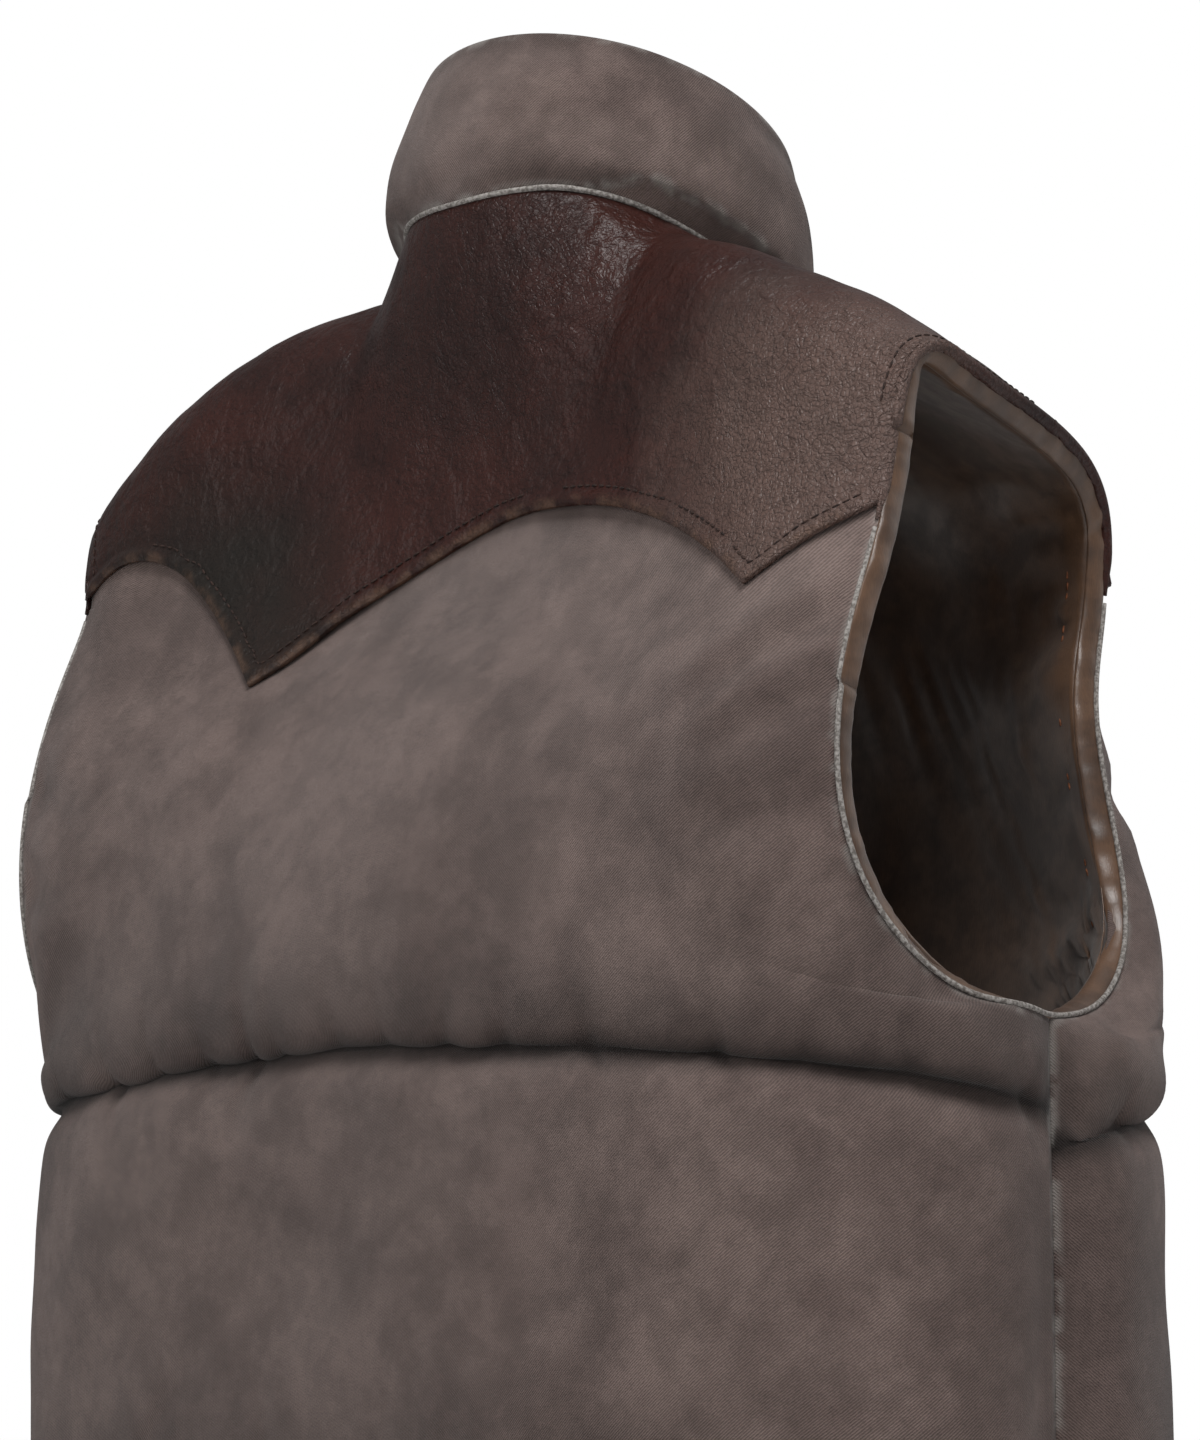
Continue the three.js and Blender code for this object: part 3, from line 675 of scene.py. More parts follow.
for panel, lining in PANELS.items():
    obj = cloth[panel]
    points, out, outer = places(obj), normals(obj), read_mark(obj, "outer")
    number, gap = nearest(start_tree, points)
    follows = np.where(outer < 0.5, fading(gap, INNER_FOLLOWS), fading(gap, COVERED))
    points += moves[yoke_outside[number]] * follows[:, None]
    under = (gap < COVERED[0]) * (outer > 0.99) * (1 - fading(nearest_gap(points, yoke_lower), LOWER_RIM))
    set_places(obj, points - out * (PRESSED * under)[:, None])
    points = places(cloth[lining])
    number, gap = nearest(start_tree, points)
    follows = fading(gap, LINING_FOLLOWS)
    set_places(cloth[lining], points + moves[yoke_outside[number]] * follows[:, None])

# %% Keep the padded cloth under the leather
LEATHER_DEPTH = 2.4 * MM
LEATHER_NEAR = 9 * MM
LEATHER_RIM = (1.5 * MM, 5.5 * MM)
obj = cloth["yoke"]
skin, skin_out = places(obj)[yoke_outside], normals(obj)[yoke_outside]
skin_inset = nearest_gap(skin, places(obj)[yoke_cut])
skin_tree = tree_of(skin)
for panel in PANELS:
    points = places(cloth[panel])
    number, gap = nearest(skin_tree, points)
    above = ((points - skin[number]) * skin_out[number]).sum(axis=1) + LEATHER_DEPTH
    above = np.clip(above, 0, None) * (gap <= LEATHER_NEAR) * (1 - fading(skin_inset[number], LEATHER_RIM))
    set_places(cloth[panel], points - skin_out[number] * above[:, None])
    print(panel, "pressed under the leather by at most", round(float(above.max() / MM), 1), "mm")

# %% Turn and groove the yoke's edge
TURNED_WIDTH = 5 * MM
TURNED_RISE = 0.8 * MM
STITCH_INSET = 7 * MM
GROOVE_WIDTH = 1.3 * MM
GROOVE_DEPTH = 0.6 * MM
DENTS = [(38 * MM, 0.8 * MM, 3), (15 * MM, 0.35 * MM, 4)]
DENTS_FADE = 12 * MM
obj = cloth["yoke"]
points, out, outer = places(obj), normals(obj), read_mark(obj, "outer")
edge_gap = nearest_gap(points, points[yoke_cut])
lower_gap = nearest_gap(points, yoke_lower)
lift = TURNED_RISE * np.sin(np.pi * np.clip(lower_gap / TURNED_WIDTH, 0, 1))
lift -= GROOVE_DEPTH * np.exp(-(((lower_gap - STITCH_INSET) / GROOVE_WIDTH) ** 2))
lift += lumps(points, DENTS) * ease(edge_gap / DENTS_FADE)
set_places(obj, points + out * (lift * outer)[:, None])
mark(obj, "lower_gap", lower_gap)
print("yoke's edge turned; vertices on it:", int((lower_gap < TURNED_WIDTH).sum()))

# %% [markdown]
# ## Collar and lining
# The collar is lightly padded and a little uneven. The satin lining is cut larger than the shell,
# so it gathers along the armholes in soft folds that run away from the edge.

# %% Shape the collar
COLLAR_LUMPS = [(48 * MM, 1.6 * MM, 21), (20 * MM, 0.6 * MM, 22)]
COLLAR_SEAM_FADE = 9 * MM
INNER_SHARE = 0.4
FOOT_SHADE = 20 * MM
obj = cloth["collar"]
points, out, outer = places(obj), normals(obj), read_mark(obj, "outer")
seam_gap = nearest_gap(points, cuts["collar"])
lift = lumps(points, COLLAR_LUMPS) * ease(seam_gap / COLLAR_SEAM_FADE)
lift *= INNER_SHARE + (1 - INNER_SHARE) * outer
set_places(obj, points + out * lift[:, None])
mark(obj, "seam_gap", seam_gap)
mark(obj, "line_gap", np.full(len(points), FAR))
mark(obj, "hang", FOOT_SHADE + 2 * seam_gap)

# %% Gather the lining
FOLD_DEPTH = 5.5 * MM
FOLD_STEP = 12 * MM
FOLD_START = 12 * MM
FOLD_FADE = 60 * MM
FOLD_DRIFT = 0.12
BROAD_SIZE = 50 * MM
BROAD_DEPTH = 1.2 * MM
LINING_SEAM_FADE = 8 * MM
ARMHOLE_RADIUS = 95 * MM


def round_armhole(points):
    """The places on a ring as wide as the armhole, so that noise read there runs along its edge."""
    turn = turn_at_armhole(points)
    return np.stack([np.sin(turn), np.cos(turn), points[:, 0] * 0], axis=1) * ARMHOLE_RADIUS


for lining in PANELS.values():
    obj = cloth[lining]
    points = places(obj)
    inwards = normals(obj) * (1 - 2 * read_mark(obj, "outer"))[:, None]
    reach = nearest_gap(points, arm_edges)
    folds = waves(round_armhole(points) + points * FOLD_DRIFT, FOLD_STEP, 31)
    broad = waves(points, BROAD_SIZE, 32)
    gather = ease(reach / FOLD_START) * np.exp(-reach / FOLD_FADE)
    crisp = (1 - np.clip(np.abs(folds) * 1.8, 0, 1)) ** 1.5
    lift = FOLD_DEPTH * crisp * (0.6 + 0.5 * broad) * gather + BROAD_DEPTH * np.maximum(broad, 0)
    lift *= ease(nearest_gap(points, cuts[lining]) / LINING_SEAM_FADE)
    set_places(obj, points + inwards * lift[:, None])

# %% [markdown]
# ## Placket
# The front closes under a plain strip of the same twill, held by snaps. It is cut from the same
# fine copy as the other pieces.

# %% Cut the placket
away_from_fronts = looks_away(NODES["front_left"], NODES["front_right"])
cloth["placket"] = fine_cloth("placket", "placket_twill", 2, away_from_fronts)
points = places(cloth["placket"])
cuts["placket"] = points[cut_vertices(cloth["placket"])]
mark(cloth["placket"], "seam_gap", nearest_gap(points, cuts["placket"]))
for name in ("line_gap", "hang"):
    mark(cloth["placket"], name, np.full(len(points), FAR))

# %% [markdown]
# ## Sewing
# A sewing machine makes one stitch over and over, so one stitch is modelled and copied along a
# line that runs at a fixed distance inside an edge. Each copy is turned to the line and to the
# surface under it, and lies half sunk in it.

# %% One stitch
STITCH = {"length": 3.1 * MM, "width": 0.95 * MM, "height": 0.8 * MM, "pitch": 4.0 * MM}
bpy.ops.object.select_all(action="DESELECT")
bpy.ops.mesh.primitive_uv_sphere_add(segments=8, ring_count=6, radius=0.5, location=(0, 0, 0))
one_stitch = bpy.context.active_object
bpy.ops.object.mode_set(mode="EDIT")
bpy.ops.mesh.select_all(action="SELECT")
bpy.ops.transform.rotate(value=math.pi / 2, orient_axis="Y", center_override=(0, 0, 0))
bpy.ops.transform.resize(
    value=(STITCH["length"], STITCH["width"], STITCH["height"]), center_override=(0, 0, 0)
)
bpy.ops.object.mode_set(mode="OBJECT")
STITCH_POINTS = places(one_stitch)
STITCH_FACES = [tuple(p.vertices) for p in one_stitch.data.polygons]
bpy.data.objects.remove(one_stitch)
print("one stitch has", len(STITCH_POINTS), "vertices")


# %% Rows of stitches
FINE_STEP = 1 * MM
CLEAR_SHARE = 0.8
FARTHEST_MISS = 3 * MM
SAME_WAY = 0.2
THREAD_LIFT = 0.1 * MM
ROW_BREAK = 12 * MM
SHORTEST_ROW = 8


def unit(rows):
    return rows / np.maximum(np.linalg.norm(rows, axis=1, keepdims=True), 1e-9)


def tangents(line, closed=False):
    if closed:
        return unit(np.roll(line, -1, axis=0) - np.roll(line, 1, axis=0))
    return unit(np.gradient(line, axis=0))


def new_piece(name, points, faces):
    mesh = bpy.data.meshes.new(name)
    mesh.from_pydata([tuple(p) for p in points], [], faces)
    obj = bpy.data.objects.new(name, mesh)
    bpy.context.scene.collection.objects.link(obj)
    pick_only(obj)
    bpy.ops.object.mode_set(mode="EDIT")
    bpy.ops.mesh.select_all(action="SELECT")
    bpy.ops.mesh.normals_make_consistent(inside=False)
    bpy.ops.object.mode_set(mode="OBJECT")
    bpy.ops.object.shade_smooth()
    return obj


def inset_line(edge, tree, inset):
    """A line on a surface at a distance inside its edge, where the edge allows it."""
    fine = resample(edge, FINE_STEP)
    on, up = drop_on(tree, fine)
    aside = np.cross(up, tangents(fine))
    best = []
    for sign in (1, -1):
        there, facing = drop_on(tree, fine + aside * sign * inset)
        best.append((np.linalg.norm(there - fine - aside * sign * inset, axis=1), there, facing))
    first = best[0][0].mean() < best[1][0].mean()
    miss, there, facing = best[0] if first else best[1]
    clear = nearest_gap(there, fine) > inset * CLEAR_SHARE
    return there[clear & (miss < FARTHEST_MISS) & ((facing * up).sum(axis=1) > SAME_WAY)]


def stitch_row(name, lines, tree):
    """Stitches along lines on a surface, as one mesh."""
    points, faces = [], []
    for line in lines:
        breaks = np.flatnonzero(np.linalg.norm(np.diff(line, axis=0), axis=1) > ROW_BREAK) + 1
        for run in np.split(line, breaks):
            if len(run) < SHORTEST_ROW:
                continue
            centres = resample(run, STITCH["pitch"])
            on, up = drop_on(tree, centres)
            ahead = tangents(on)
            side = unit(np.cross(up, ahead))
            for c, a, b, n in zip(on, ahead, side, np.cross(ahead, side)):
                start = len(points)
                points.extend(c + n * THREAD_LIFT + STITCH_POINTS @ np.stack([a, b, n]))
                faces.extend(tuple(start + v for v in face) for face in STITCH_FACES)
    sewing[name] = new_piece(name, points, faces)
    print(name, "stitches:", len(points) // len(STITCH_POINTS))


# %% Topstitching on the yoke and placket
YOKE_ARM_GAP = 9 * MM
ARM_STITCH_INSET = 5 * MM
PLACKET_INSET = 6 * MM
PLACKET_SIDE = 10 * MM
yoke_tree = surface_of(cloth["yoke"])
by_arm = ~lower & (nearest_gap(yoke_cut_places, arm_edges) < YOKE_ARM_GAP)
yoke_points = places(cloth["yoke"])
yoke_arm_runs = [yoke_points[run] for run in chains(cloth["yoke"], yoke_cut[by_arm])]
placket_edges = []
for hand in (-1, 1):
    strip = cuts["placket"][cuts["placket"][:, 0] * hand > PLACKET_SIDE]
    placket_edges.append(strip[np.argsort(strip[:, 2])])
sewing = {}
for name, edges, inset, tree in (
    ("yoke_stitches", yoke_lower_runs, STITCH_INSET, yoke_tree),
    ("yoke_arm_stitches", yoke_arm_runs, ARM_STITCH_INSET, yoke_tree),
    ("placket_stitches", placket_edges, PLACKET_INSET, surface_of(cloth["placket"])),
):
    stitch_row(name, [inset_line(edge, tree, inset) for edge in edges], tree)

# %% [markdown]
# ## Bound armholes
# Where the yoke ends at an armhole, its leather is rolled over the edge of the padded wall and the
# lining. Below the yoke the lining is rolled over instead, and the raw fold of the twill shows as a
# thin pale cord. A roll is an oval swept along the middle of the wall's cut edge.

# %% Rolls along the armholes
ROLL_SIDES = 14
WIDEST_RIM = 16 * MM


def sweep(name, line, wide, high, half_wide, half_high, closed=False):
    """A closed oval tube along a line: wide and high are its axes at each point of the line."""
    turns = np.arange(ROLL_SIDES) * 2 * math.pi / ROLL_SIDES
    half_wide = np.broadcast_to(half_wide, len(line))
    half_high = np.broadcast_to(half_high, len(line))
    rings = [
        c + np.outer(np.cos(turns) * w, a) + np.outer(np.sin(turns) * h, b)
        for c, a, b, w, h in zip(line, wide, high, half_wide, half_high)
    ]
    faces = []
    count = len(line)
    for i in range(count if closed else count - 1):
        one, two = i * ROLL_SIDES, ((i + 1) % count) * ROLL_SIDES
        for k in range(ROLL_SIDES):
            n = (k + 1) % ROLL_SIDES
            faces.append((one + k, one + n, two + n, two + k))
    if not closed:
        faces.append(tuple(range(ROLL_SIDES))[::-1])
        faces.append(tuple((count - 1) * ROLL_SIDES + k for k in range(ROLL_SIDES)))
    sewing[name] = new_piece(name, np.vstack(rings), faces)


def smooth_rows(rows, times):
    """Each place drawn towards its two neighbours along a closed line, several times."""
    for _ in range(times):
        rows = (np.roll(rows, 1, axis=0) + rows * 2 + np.roll(rows, -1, axis=0)) / 4
    return rows


linings = [cloth[lining] for lining in PANELS.values()]
lining_inner = np.vstack([places(obj)[read_mark(obj, "outer") < 0.01] for obj in linings])
lining_tree = surface_of(*linings)
rims = {}
for hand, line in armholes.items():
    edge = smooth_rows(line, 2)
    ring_inner = lining_inner[nearest_gap(lining_inner, line) < WIDEST_RIM]
    number, _ = nearest(tree_of(ring_inner), edge)
    far = smooth_rows(ring_inner[number], 6)
    across = unit(far - edge)
    into_hole = unit(np.cross(tangents(edge, closed=True), across))
    into_hole *= np.sign(((edge.mean(axis=0) - edge) * into_hole).sum(axis=1))[:, None]
    rims[hand] = {"edge": edge, "far": far, "across": across, "into": into_hole}
    print(hand, "rim is", (np.linalg.norm(far - edge, axis=1).mean() / MM).round(1), "mm wide")

# %% Roll the leather and the lining over the edge
LEATHER_REACH = 7 * MM
LEATHER_ROLL = {"above": 2.6 * MM, "below": 2.2 * MM, "high": 1.7 * MM}
LEATHER_OUT = 0.4 * MM
SATIN_ROLL = 1.4 * MM
SATIN_GATHER = 5 * MM
CORD_RADIUS = 0.9 * MM
ROUND_CORD_OUT = 0.8 * MM
TAPER_STATIONS = 5
for hand, rim in rims.items():
    edge, far, across, into = rim["edge"], rim["far"], rim["across"], rim["into"]
    middle = (edge + far) / 2
    half = np.linalg.norm(edge - far, axis=1) / 2
    gathers = 1 + 0.5 * waves(middle, SATIN_GATHER, 41)
    sweep("armhole_satin_" + hand, middle, across, into, half, SATIN_ROLL * gathers, closed=True)
    on_yoke = gap_to(yoke_tree, edge) < LEATHER_REACH
    start = int(np.flatnonzero(on_yoke & ~np.roll(on_yoke, 1))[0])
    order = (np.arange(len(on_yoke)) + start) % len(on_yoke)
    leather_count = int(np.flatnonzero(~on_yoke[order])[0])
    rows, rest = order[:leather_count], order[leather_count:]
    from_end = np.minimum(np.arange(len(rows)), np.arange(len(rows))[::-1])
    taper = 0.4 + 0.6 * ease(from_end / TAPER_STATIONS)
    lean = (LEATHER_ROLL["below"] - LEATHER_ROLL["above"]) / 2
    half = (LEATHER_ROLL["below"] + LEATHER_ROLL["above"]) / 2
    centre = edge[rows] + across[rows] * lean + into[rows] * LEATHER_OUT
    high = LEATHER_ROLL["high"] * taper
    sweep("armhole_leather_" + hand, centre, across[rows], into[rows], half * taper, high)
    cord_line = edge[rest] + into[rest] * ROUND_CORD_OUT
    sweep("armhole_cord_" + hand, cord_line, across[rest], into[rest], CORD_RADIUS, CORD_RADIUS)
    print(hand, "leather over", leather_count, "of", len(order), "stations")

# %% Stitches on the lining round the armholes
BAND_INSET = 9 * MM
BAND_MISS = 6 * MM
lines = []
for rim in rims.values():
    away = rim["far"] - rim["into"] * BAND_INSET
    on, _ = drop_on(lining_tree, away)
    lines.append(on[np.linalg.norm(on - away, axis=1) < BAND_MISS])
stitch_row("lining_stitches", lines, lining_tree)

# %% [markdown]
# ## Collar seam
# The collar is sewn on over the yoke, and the turned edges of the twill form a thin raised cord.

# %% Cord under the collar
FOOT_STATIONS = 150
FOOT_SLICE = 0.03
CORD_WIDE = 1.3 * MM
CORD_HIGH = 1.1 * MM
CORD_OUT = 0.4 * MM
CORD_UP = 0.6 * MM
COLLAR_OPENING = 0.04
YOKE_OVER = 12 * MM


def neck_edge(names, angles):
    """The places of some pieces' outer sides that lie highest and nearest to the neck."""
    points = np.vstack([places(cloth[n])[read_mark(cloth[n], "outer") > 0.5] for n in names])
    turn, reach = round_collar(points)
    edge = []
    for angle in angles:
        close = np.flatnonzero(turn_between(turn, angle) < FOOT_SLICE)
        edge.append(points[close[np.argmax(points[close, 2] - reach[close])]])
    return np.array(edge)


angles = np.linspace(COLLAR_OPENING - math.pi, math.pi - COLLAR_OPENING, FOOT_STATIONS)
foot = neck_edge(PANELS, angles)
over = neck_edge(["yoke"], angles)
on_yoke = np.linalg.norm(over - foot, axis=1) < YOKE_OVER
foot[on_yoke] = over[on_yoke]
foot = smooth_rows(foot, 3) + [0, 0, CORD_UP]
foot_along = tangents(foot)
foot_side = unit(np.cross(foot_along, [0, 0, 1]))
foot_side *= np.sign(((foot - [0, COLLAR_AXIS_Y, 0]) * foot_side).sum(axis=1))[:, None]
foot_up = unit(np.cross(foot_side, foot_along))
sweep("collar_cord", foot + foot_side * CORD_OUT, foot_side, foot_up, CORD_WIDE, CORD_HIGH)
print("collar cord stations:", len(foot), "of which on the yoke:", int(on_yoke.sum()))

# %% [markdown]
# ## Weave direction
# Twill's diagonal ribs follow the cut of each piece, so each twill piece gets a UV map in metres:
# across it round the body, and up it. Leather and satin have no such direction.

# %% UV maps for the twill
def set_weave(obj, across, up, girth):
    """UV in metres; a face that crosses the place where the turn starts again is kept whole."""
    layer = obj.data.uv_layers.new(name="weave")
    corners = np.zeros(len(obj.data.loops), np.int32)
    obj.data.loops.foreach_get("vertex_index", corners)
    u, v = across[corners], up[corners]
    starts = np.zeros(len(obj.data.polygons), np.int32)
    obj.data.polygons.foreach_get("loop_start", starts)
    totals = np.zeros(len(obj.data.polygons), np.int32)
    obj.data.polygons.foreach_get("loop_total", totals)
    face = np.repeat(np.arange(len(starts)), totals)
    high = np.maximum.reduceat(u, starts)[face]
    low = np.minimum.reduceat(u, starts)[face]
    u = np.where((high - low > girth / 2) & (u < (high + low) / 2), u + girth, u)
    layer.data.foreach_set("uv", np.stack([u, v], axis=1).astype(np.float32).ravel())


COLLAR_RADIUS = 72 * MM
for name in PANELS:
    points = places(cloth[name])
    set_weave(cloth[name], along_body(name, points), points[:, 2], 2 * math.pi * BODY_RADIUS)
points = places(cloth["placket"])
set_weave(cloth["placket"], points[:, 0], points[:, 2], FAR)
points = places(cloth["collar"])
turn, _ = round_collar(points)
set_weave(cloth["collar"], turn * COLLAR_RADIUS, points[:, 2], 2 * math.pi * COLLAR_RADIUS)

# %% [markdown]
# ## Shared shader effects
# Weave, soft patches, leather grain and wear are each built once as a node group and placed in
# every material that needs them, with its own sizes.

# %% Shader helpers
def feed(tree, socket, value):
    """Links another node's output to a socket, or sets the socket to a plain value."""
    if isinstance(value, bpy.types.NodeSocket):
        tree.links.new(value, socket)
    else:
        socket.default_value = value


def add(tree, kind, inputs=None, **settings):
    """A new node with its settings and its inputs fed."""
    made = tree.nodes.new(kind)
    for key, value in settings.items():
        setattr(made, key, value)
    for key, value in (inputs or {}).items():
        feed(tree, made.inputs[key], value)
    return made


def math_of(tree, operation, one, two=0.0):
    return add(tree, "ShaderNodeMath", {0: one, 1: two}, operation=operation).outputs[0]


def times(tree, one, two):
    return math_of(tree, "MULTIPLY", one, two)


def plus(tree, one, two):
    return math_of(tree, "ADD", one, two)


def noise_at(tree, where, scale, **more):
    """Noise at a place: the names of the other inputs have no spaces."""
    inputs = {"Vector": where, "Scale": scale}
    inputs.update({key.capitalize(): value for key, value in more.items()})
    return add(tree, "ShaderNodeTexNoise", inputs)


def span(tree, value, low, high, to_low=0.0, to_high=1.0):
    """Value from low to high, turned smoothly into to_low to to_high."""
    made = add(tree, "ShaderNodeMapRange", {"Value": value, "From Min": low, "From Max": high,
               "To Min": to_low, "To Max": to_high}, interpolation_type="SMOOTHSTEP")
    return made.outputs["Result"]


def mix_colours(tree, share, one, two, blend="MIX"):
    made = add(tree, "ShaderNodeMix", data_type="RGBA", blend_type=blend)
    for socket, value in ((0, share), (6, one), (7, two)):
        feed(tree, made.inputs[socket], value)
    return made.outputs[2]


def shade(tree, colour, value):
    """A colour made darker or brighter by a value."""
    grey = add(tree, "ShaderNodeCombineColor", {"Red": value, "Green": value, "Blue": value})
    return mix_colours(tree, 1.0, colour, grey.outputs[0], "MULTIPLY")


def new_group(name, inputs, outputs):
    tree = bpy.data.node_groups.new(name, "ShaderNodeTree")
    for label, kind in inputs.items():
        tree.interface.new_socket(name=label, in_out="INPUT", socket_type="NodeSocket" + kind)
    for label in outputs:
        tree.interface.new_socket(name=label, in_out="OUTPUT", socket_type="NodeSocketFloat")
    return tree, tree.nodes.new("NodeGroupInput").outputs, tree.nodes.new("NodeGroupOutput").inputs


# %% Twill weave
twill_weave, given, told = new_group("Twill weave", {"Vector": "Vector", "Pitch": "Float"}, ["Height"])
tree = twill_weave
many = math_of(tree, "DIVIDE", 1.0, given["Pitch"])
scaled = add(tree, "ShaderNodeVectorMath", {0: given["Vector"], "Scale": many}, operation="SCALE").outputs[0]
RIB_SCALE = 0.2 * math.pi / math.sqrt(2)
rib = add(tree, "ShaderNodeTexWave", {"Vector": scaled, "Scale": RIB_SCALE, "Distortion": 1.2,
          "Detail": 2.0, "Detail Scale": 2.2}, bands_direction="DIAGONAL")
yarn = noise_at(tree, scaled, 0.9, detail=2.0).outputs["Fac"]
tree.links.new(plus(tree, times(tree, rib.outputs["Fac"], 0.55), times(tree, yarn, 0.9)), told["Height"])

# %% Soft mottle
soft_mottle, given, told = new_group("Soft mottle", {"Vector": "Vector", "Size": "Float"}, ["Mask"])
tree = soft_mottle
scale = math_of(tree, "DIVIDE", 1.0, given["Size"])
broad = noise_at(tree, given["Vector"], scale, detail=4.0, roughness=0.6, distortion=0.4).outputs["Fac"]
fine = noise_at(tree, given["Vector"], times(tree, scale, 5.0), detail=3.0).outputs["Fac"]
both = plus(tree, times(tree, broad, 0.7), times(tree, fine, 0.3))
tree.links.new(span(tree, both, 0.36, 0.64), told["Mask"])

# %% Leather grain
leather_grain, given, told = new_group(
    "Leather grain", {"Vector": "Vector", "Size": "Float"}, ["Height", "Creases"]
)
tree = leather_grain
scale = math_of(tree, "DIVIDE", 1.0, given["Size"])
wander = noise_at(tree, given["Vector"], 160.0, detail=2.0)
bent = add(tree, "ShaderNodeVectorMath", {0: wander.outputs["Color"], "Scale": 0.0014}, operation="SCALE")
moved = add(tree, "ShaderNodeVectorMath", {0: given["Vector"], 1: bent.outputs[0]}).outputs[0]
pebble = add(tree, "ShaderNodeTexVoronoi", {"Vector": moved, "Scale": scale}, feature="DISTANCE_TO_EDGE")
ridge = noise_at(tree, moved, times(tree, scale, 0.16), detail=5.0, distortion=1.2).outputs["Fac"]
crease = math_of(tree, "ABSOLUTE", math_of(tree, "SUBTRACT", ridge, 0.5))
tree.links.new(span(tree, pebble.outputs["Distance"], 0.0, 0.2), told["Height"])
tree.links.new(span(tree, crease, 0.0, 0.035), told["Creases"])

# %% Wear near an edge
edge_wear, given, told = new_group(
    "Edge wear", {"Vector": "Vector", "Gap": "Float", "Width": "Float"}, ["Mask"]
)
tree = edge_wear
rubbed = noise_at(tree, given["Vector"], 110.0, detail=4.0).outputs["Fac"]
near = span(tree, math_of(tree, "DIVIDE", given["Gap"], given["Width"]), 0.0, 1.0, 1.0, 0.0)
tree.links.new(times(tree, near, span(tree, rubbed, 0.38, 0.62)), told["Mask"])


# %% Start a material
def start(name, roughness, specular=0.5):
    paint = bpy.data.materials.new(name)
    paint.use_nodes = True
    tree = paint.node_tree
    shader = tree.nodes["Principled BSDF"]
    shader.inputs["Roughness"].default_value = roughness
    shader.inputs["Specular IOR Level"].default_value = specular
    where = add(tree, "ShaderNodeTexCoord").outputs["Object"]
    return paint, tree, shader, where


def placed(tree, group, inputs):
    return add(tree, "ShaderNodeGroup", inputs, node_tree=group).outputs


def read(tree, name):
    return add(tree, "ShaderNodeAttribute", attribute_name=name).outputs["Fac"]


def bump(tree, shader, height, distance, strength=1.0):
    made = add(tree, "ShaderNodeBump", {"Height": height, "Distance": distance, "Strength": strength})
    tree.links.new(made.outputs["Normal"], shader.inputs["Normal"])


# %% [markdown]
# ## Twill, leather, satin, thread and metal
# The twill is a washed grey-brown cotton, brushed like suede, so it is matt and soft patches of it
# catch the light. The leather is a dark oxblood that has worn paler at its edges. Its right shoulder
# gets a painted highlight, and the wearer's left, which faces away from the light, a nearly black painted
# shade. The satin is bronze brown.

# %% Twill
TWILL_DARK = (0.092, 0.065, 0.058, 1)
TWILL_PALE = (0.154, 0.112, 0.100, 1)
TWILL_WORN = (0.30, 0.28, 0.26, 1)
twill, tree, shader, where = start("brushed_twill", 0.92, 0.25)
shader.inputs["Sheen Weight"].default_value = 0.1
shader.inputs["Sheen Roughness"].default_value = 0.5
uv = add(tree, "ShaderNodeUVMap", uv_map="weave").outputs[0]
weave = placed(tree, twill_weave, {"Vector": uv, "Pitch": 0.00075})["Height"]
patches = placed(tree, soft_mottle, {"Vector": where, "Size": 0.085})["Mask"]
colour = mix_colours(tree, patches, TWILL_DARK, TWILL_PALE)
small = placed(tree, soft_mottle, {"Vector": where, "Size": 0.022})["Mask"]
colour = shade(tree, colour, span(tree, small, 0.0, 1.0, 0.86, 1.08))
colour = shade(tree, colour, span(tree, weave, 0.3, 1.1, 0.72, 1.26))
# Painted shadow: the twill is darkened along each quilting line, where the puff above overhangs it.
quilt_line_shadow = span(tree, read(tree, "line_gap"), 0.0, 0.011, 0.22, 1.0)
colour = shade(tree, colour, quilt_line_shadow)
shaded = span(tree, read(tree, "hang"), 0.0, 0.050, 0.60, 1.0)
colour = shade(tree, colour, shaded)
worn = placed(tree, edge_wear, {"Vector": where, "Gap": read(tree, "seam_gap"), "Width": 0.004})["Mask"]
colour = mix_colours(tree, times(tree, worn, 0.5), colour, TWILL_WORN)
tree.links.new(colour, shader.inputs["Base Color"])
bump(tree, shader, weave, 0.0004, 0.8)

# %% Places on the leather: a painted highlight, a painted shade and coarser grain
def nearness(tree, where, centre, near, far):
    """1 within one distance of a place on the garment, and 0 past another."""
    gap = add(tree, "ShaderNodeVectorMath", {0: where, 1: centre}, operation="DISTANCE").outputs["Value"]
    ragged = noise_at(tree, where, 28.0, detail=4.0).outputs["Fac"]
    gap = plus(tree, gap, times(tree, math_of(tree, "SUBTRACT", ragged, 0.5), 0.06))
    return span(tree, gap, near, far, 1.0, 0.0)


# %% Leather
LEATHER_BASE = (0.037, 0.0108, 0.0080, 1)
LEATHER_DEEP = (0.021, 0.0066, 0.0052, 1)
LEATHER_LEFT_SHADE = (0.0090, 0.0105, 0.0080, 1)
LEATHER_SHOULDER_HIGHLIGHT = (0.150, 0.100, 0.084, 1)
LEATHER_WORN = (0.150, 0.085, 0.055, 1)
leather, tree, shader, where = start("oxblood_leather", 0.42, 0.26)
grain = placed(tree, leather_grain, {"Vector": where, "Size": 0.0018})
patches = placed(tree, soft_mottle, {"Vector": where, "Size": 0.07})["Mask"]
colour = mix_colours(tree, patches, LEATHER_DEEP, LEATHER_BASE)
# Painted shade: the wearer's left side faces away from the light, so its leather is painted nearly black.
left = nearness(tree, where, (0.135, 0.095, -0.150), 0.040, 0.12)
colour = mix_colours(tree, times(tree, left, 0.75), colour, LEATHER_LEFT_SHADE)
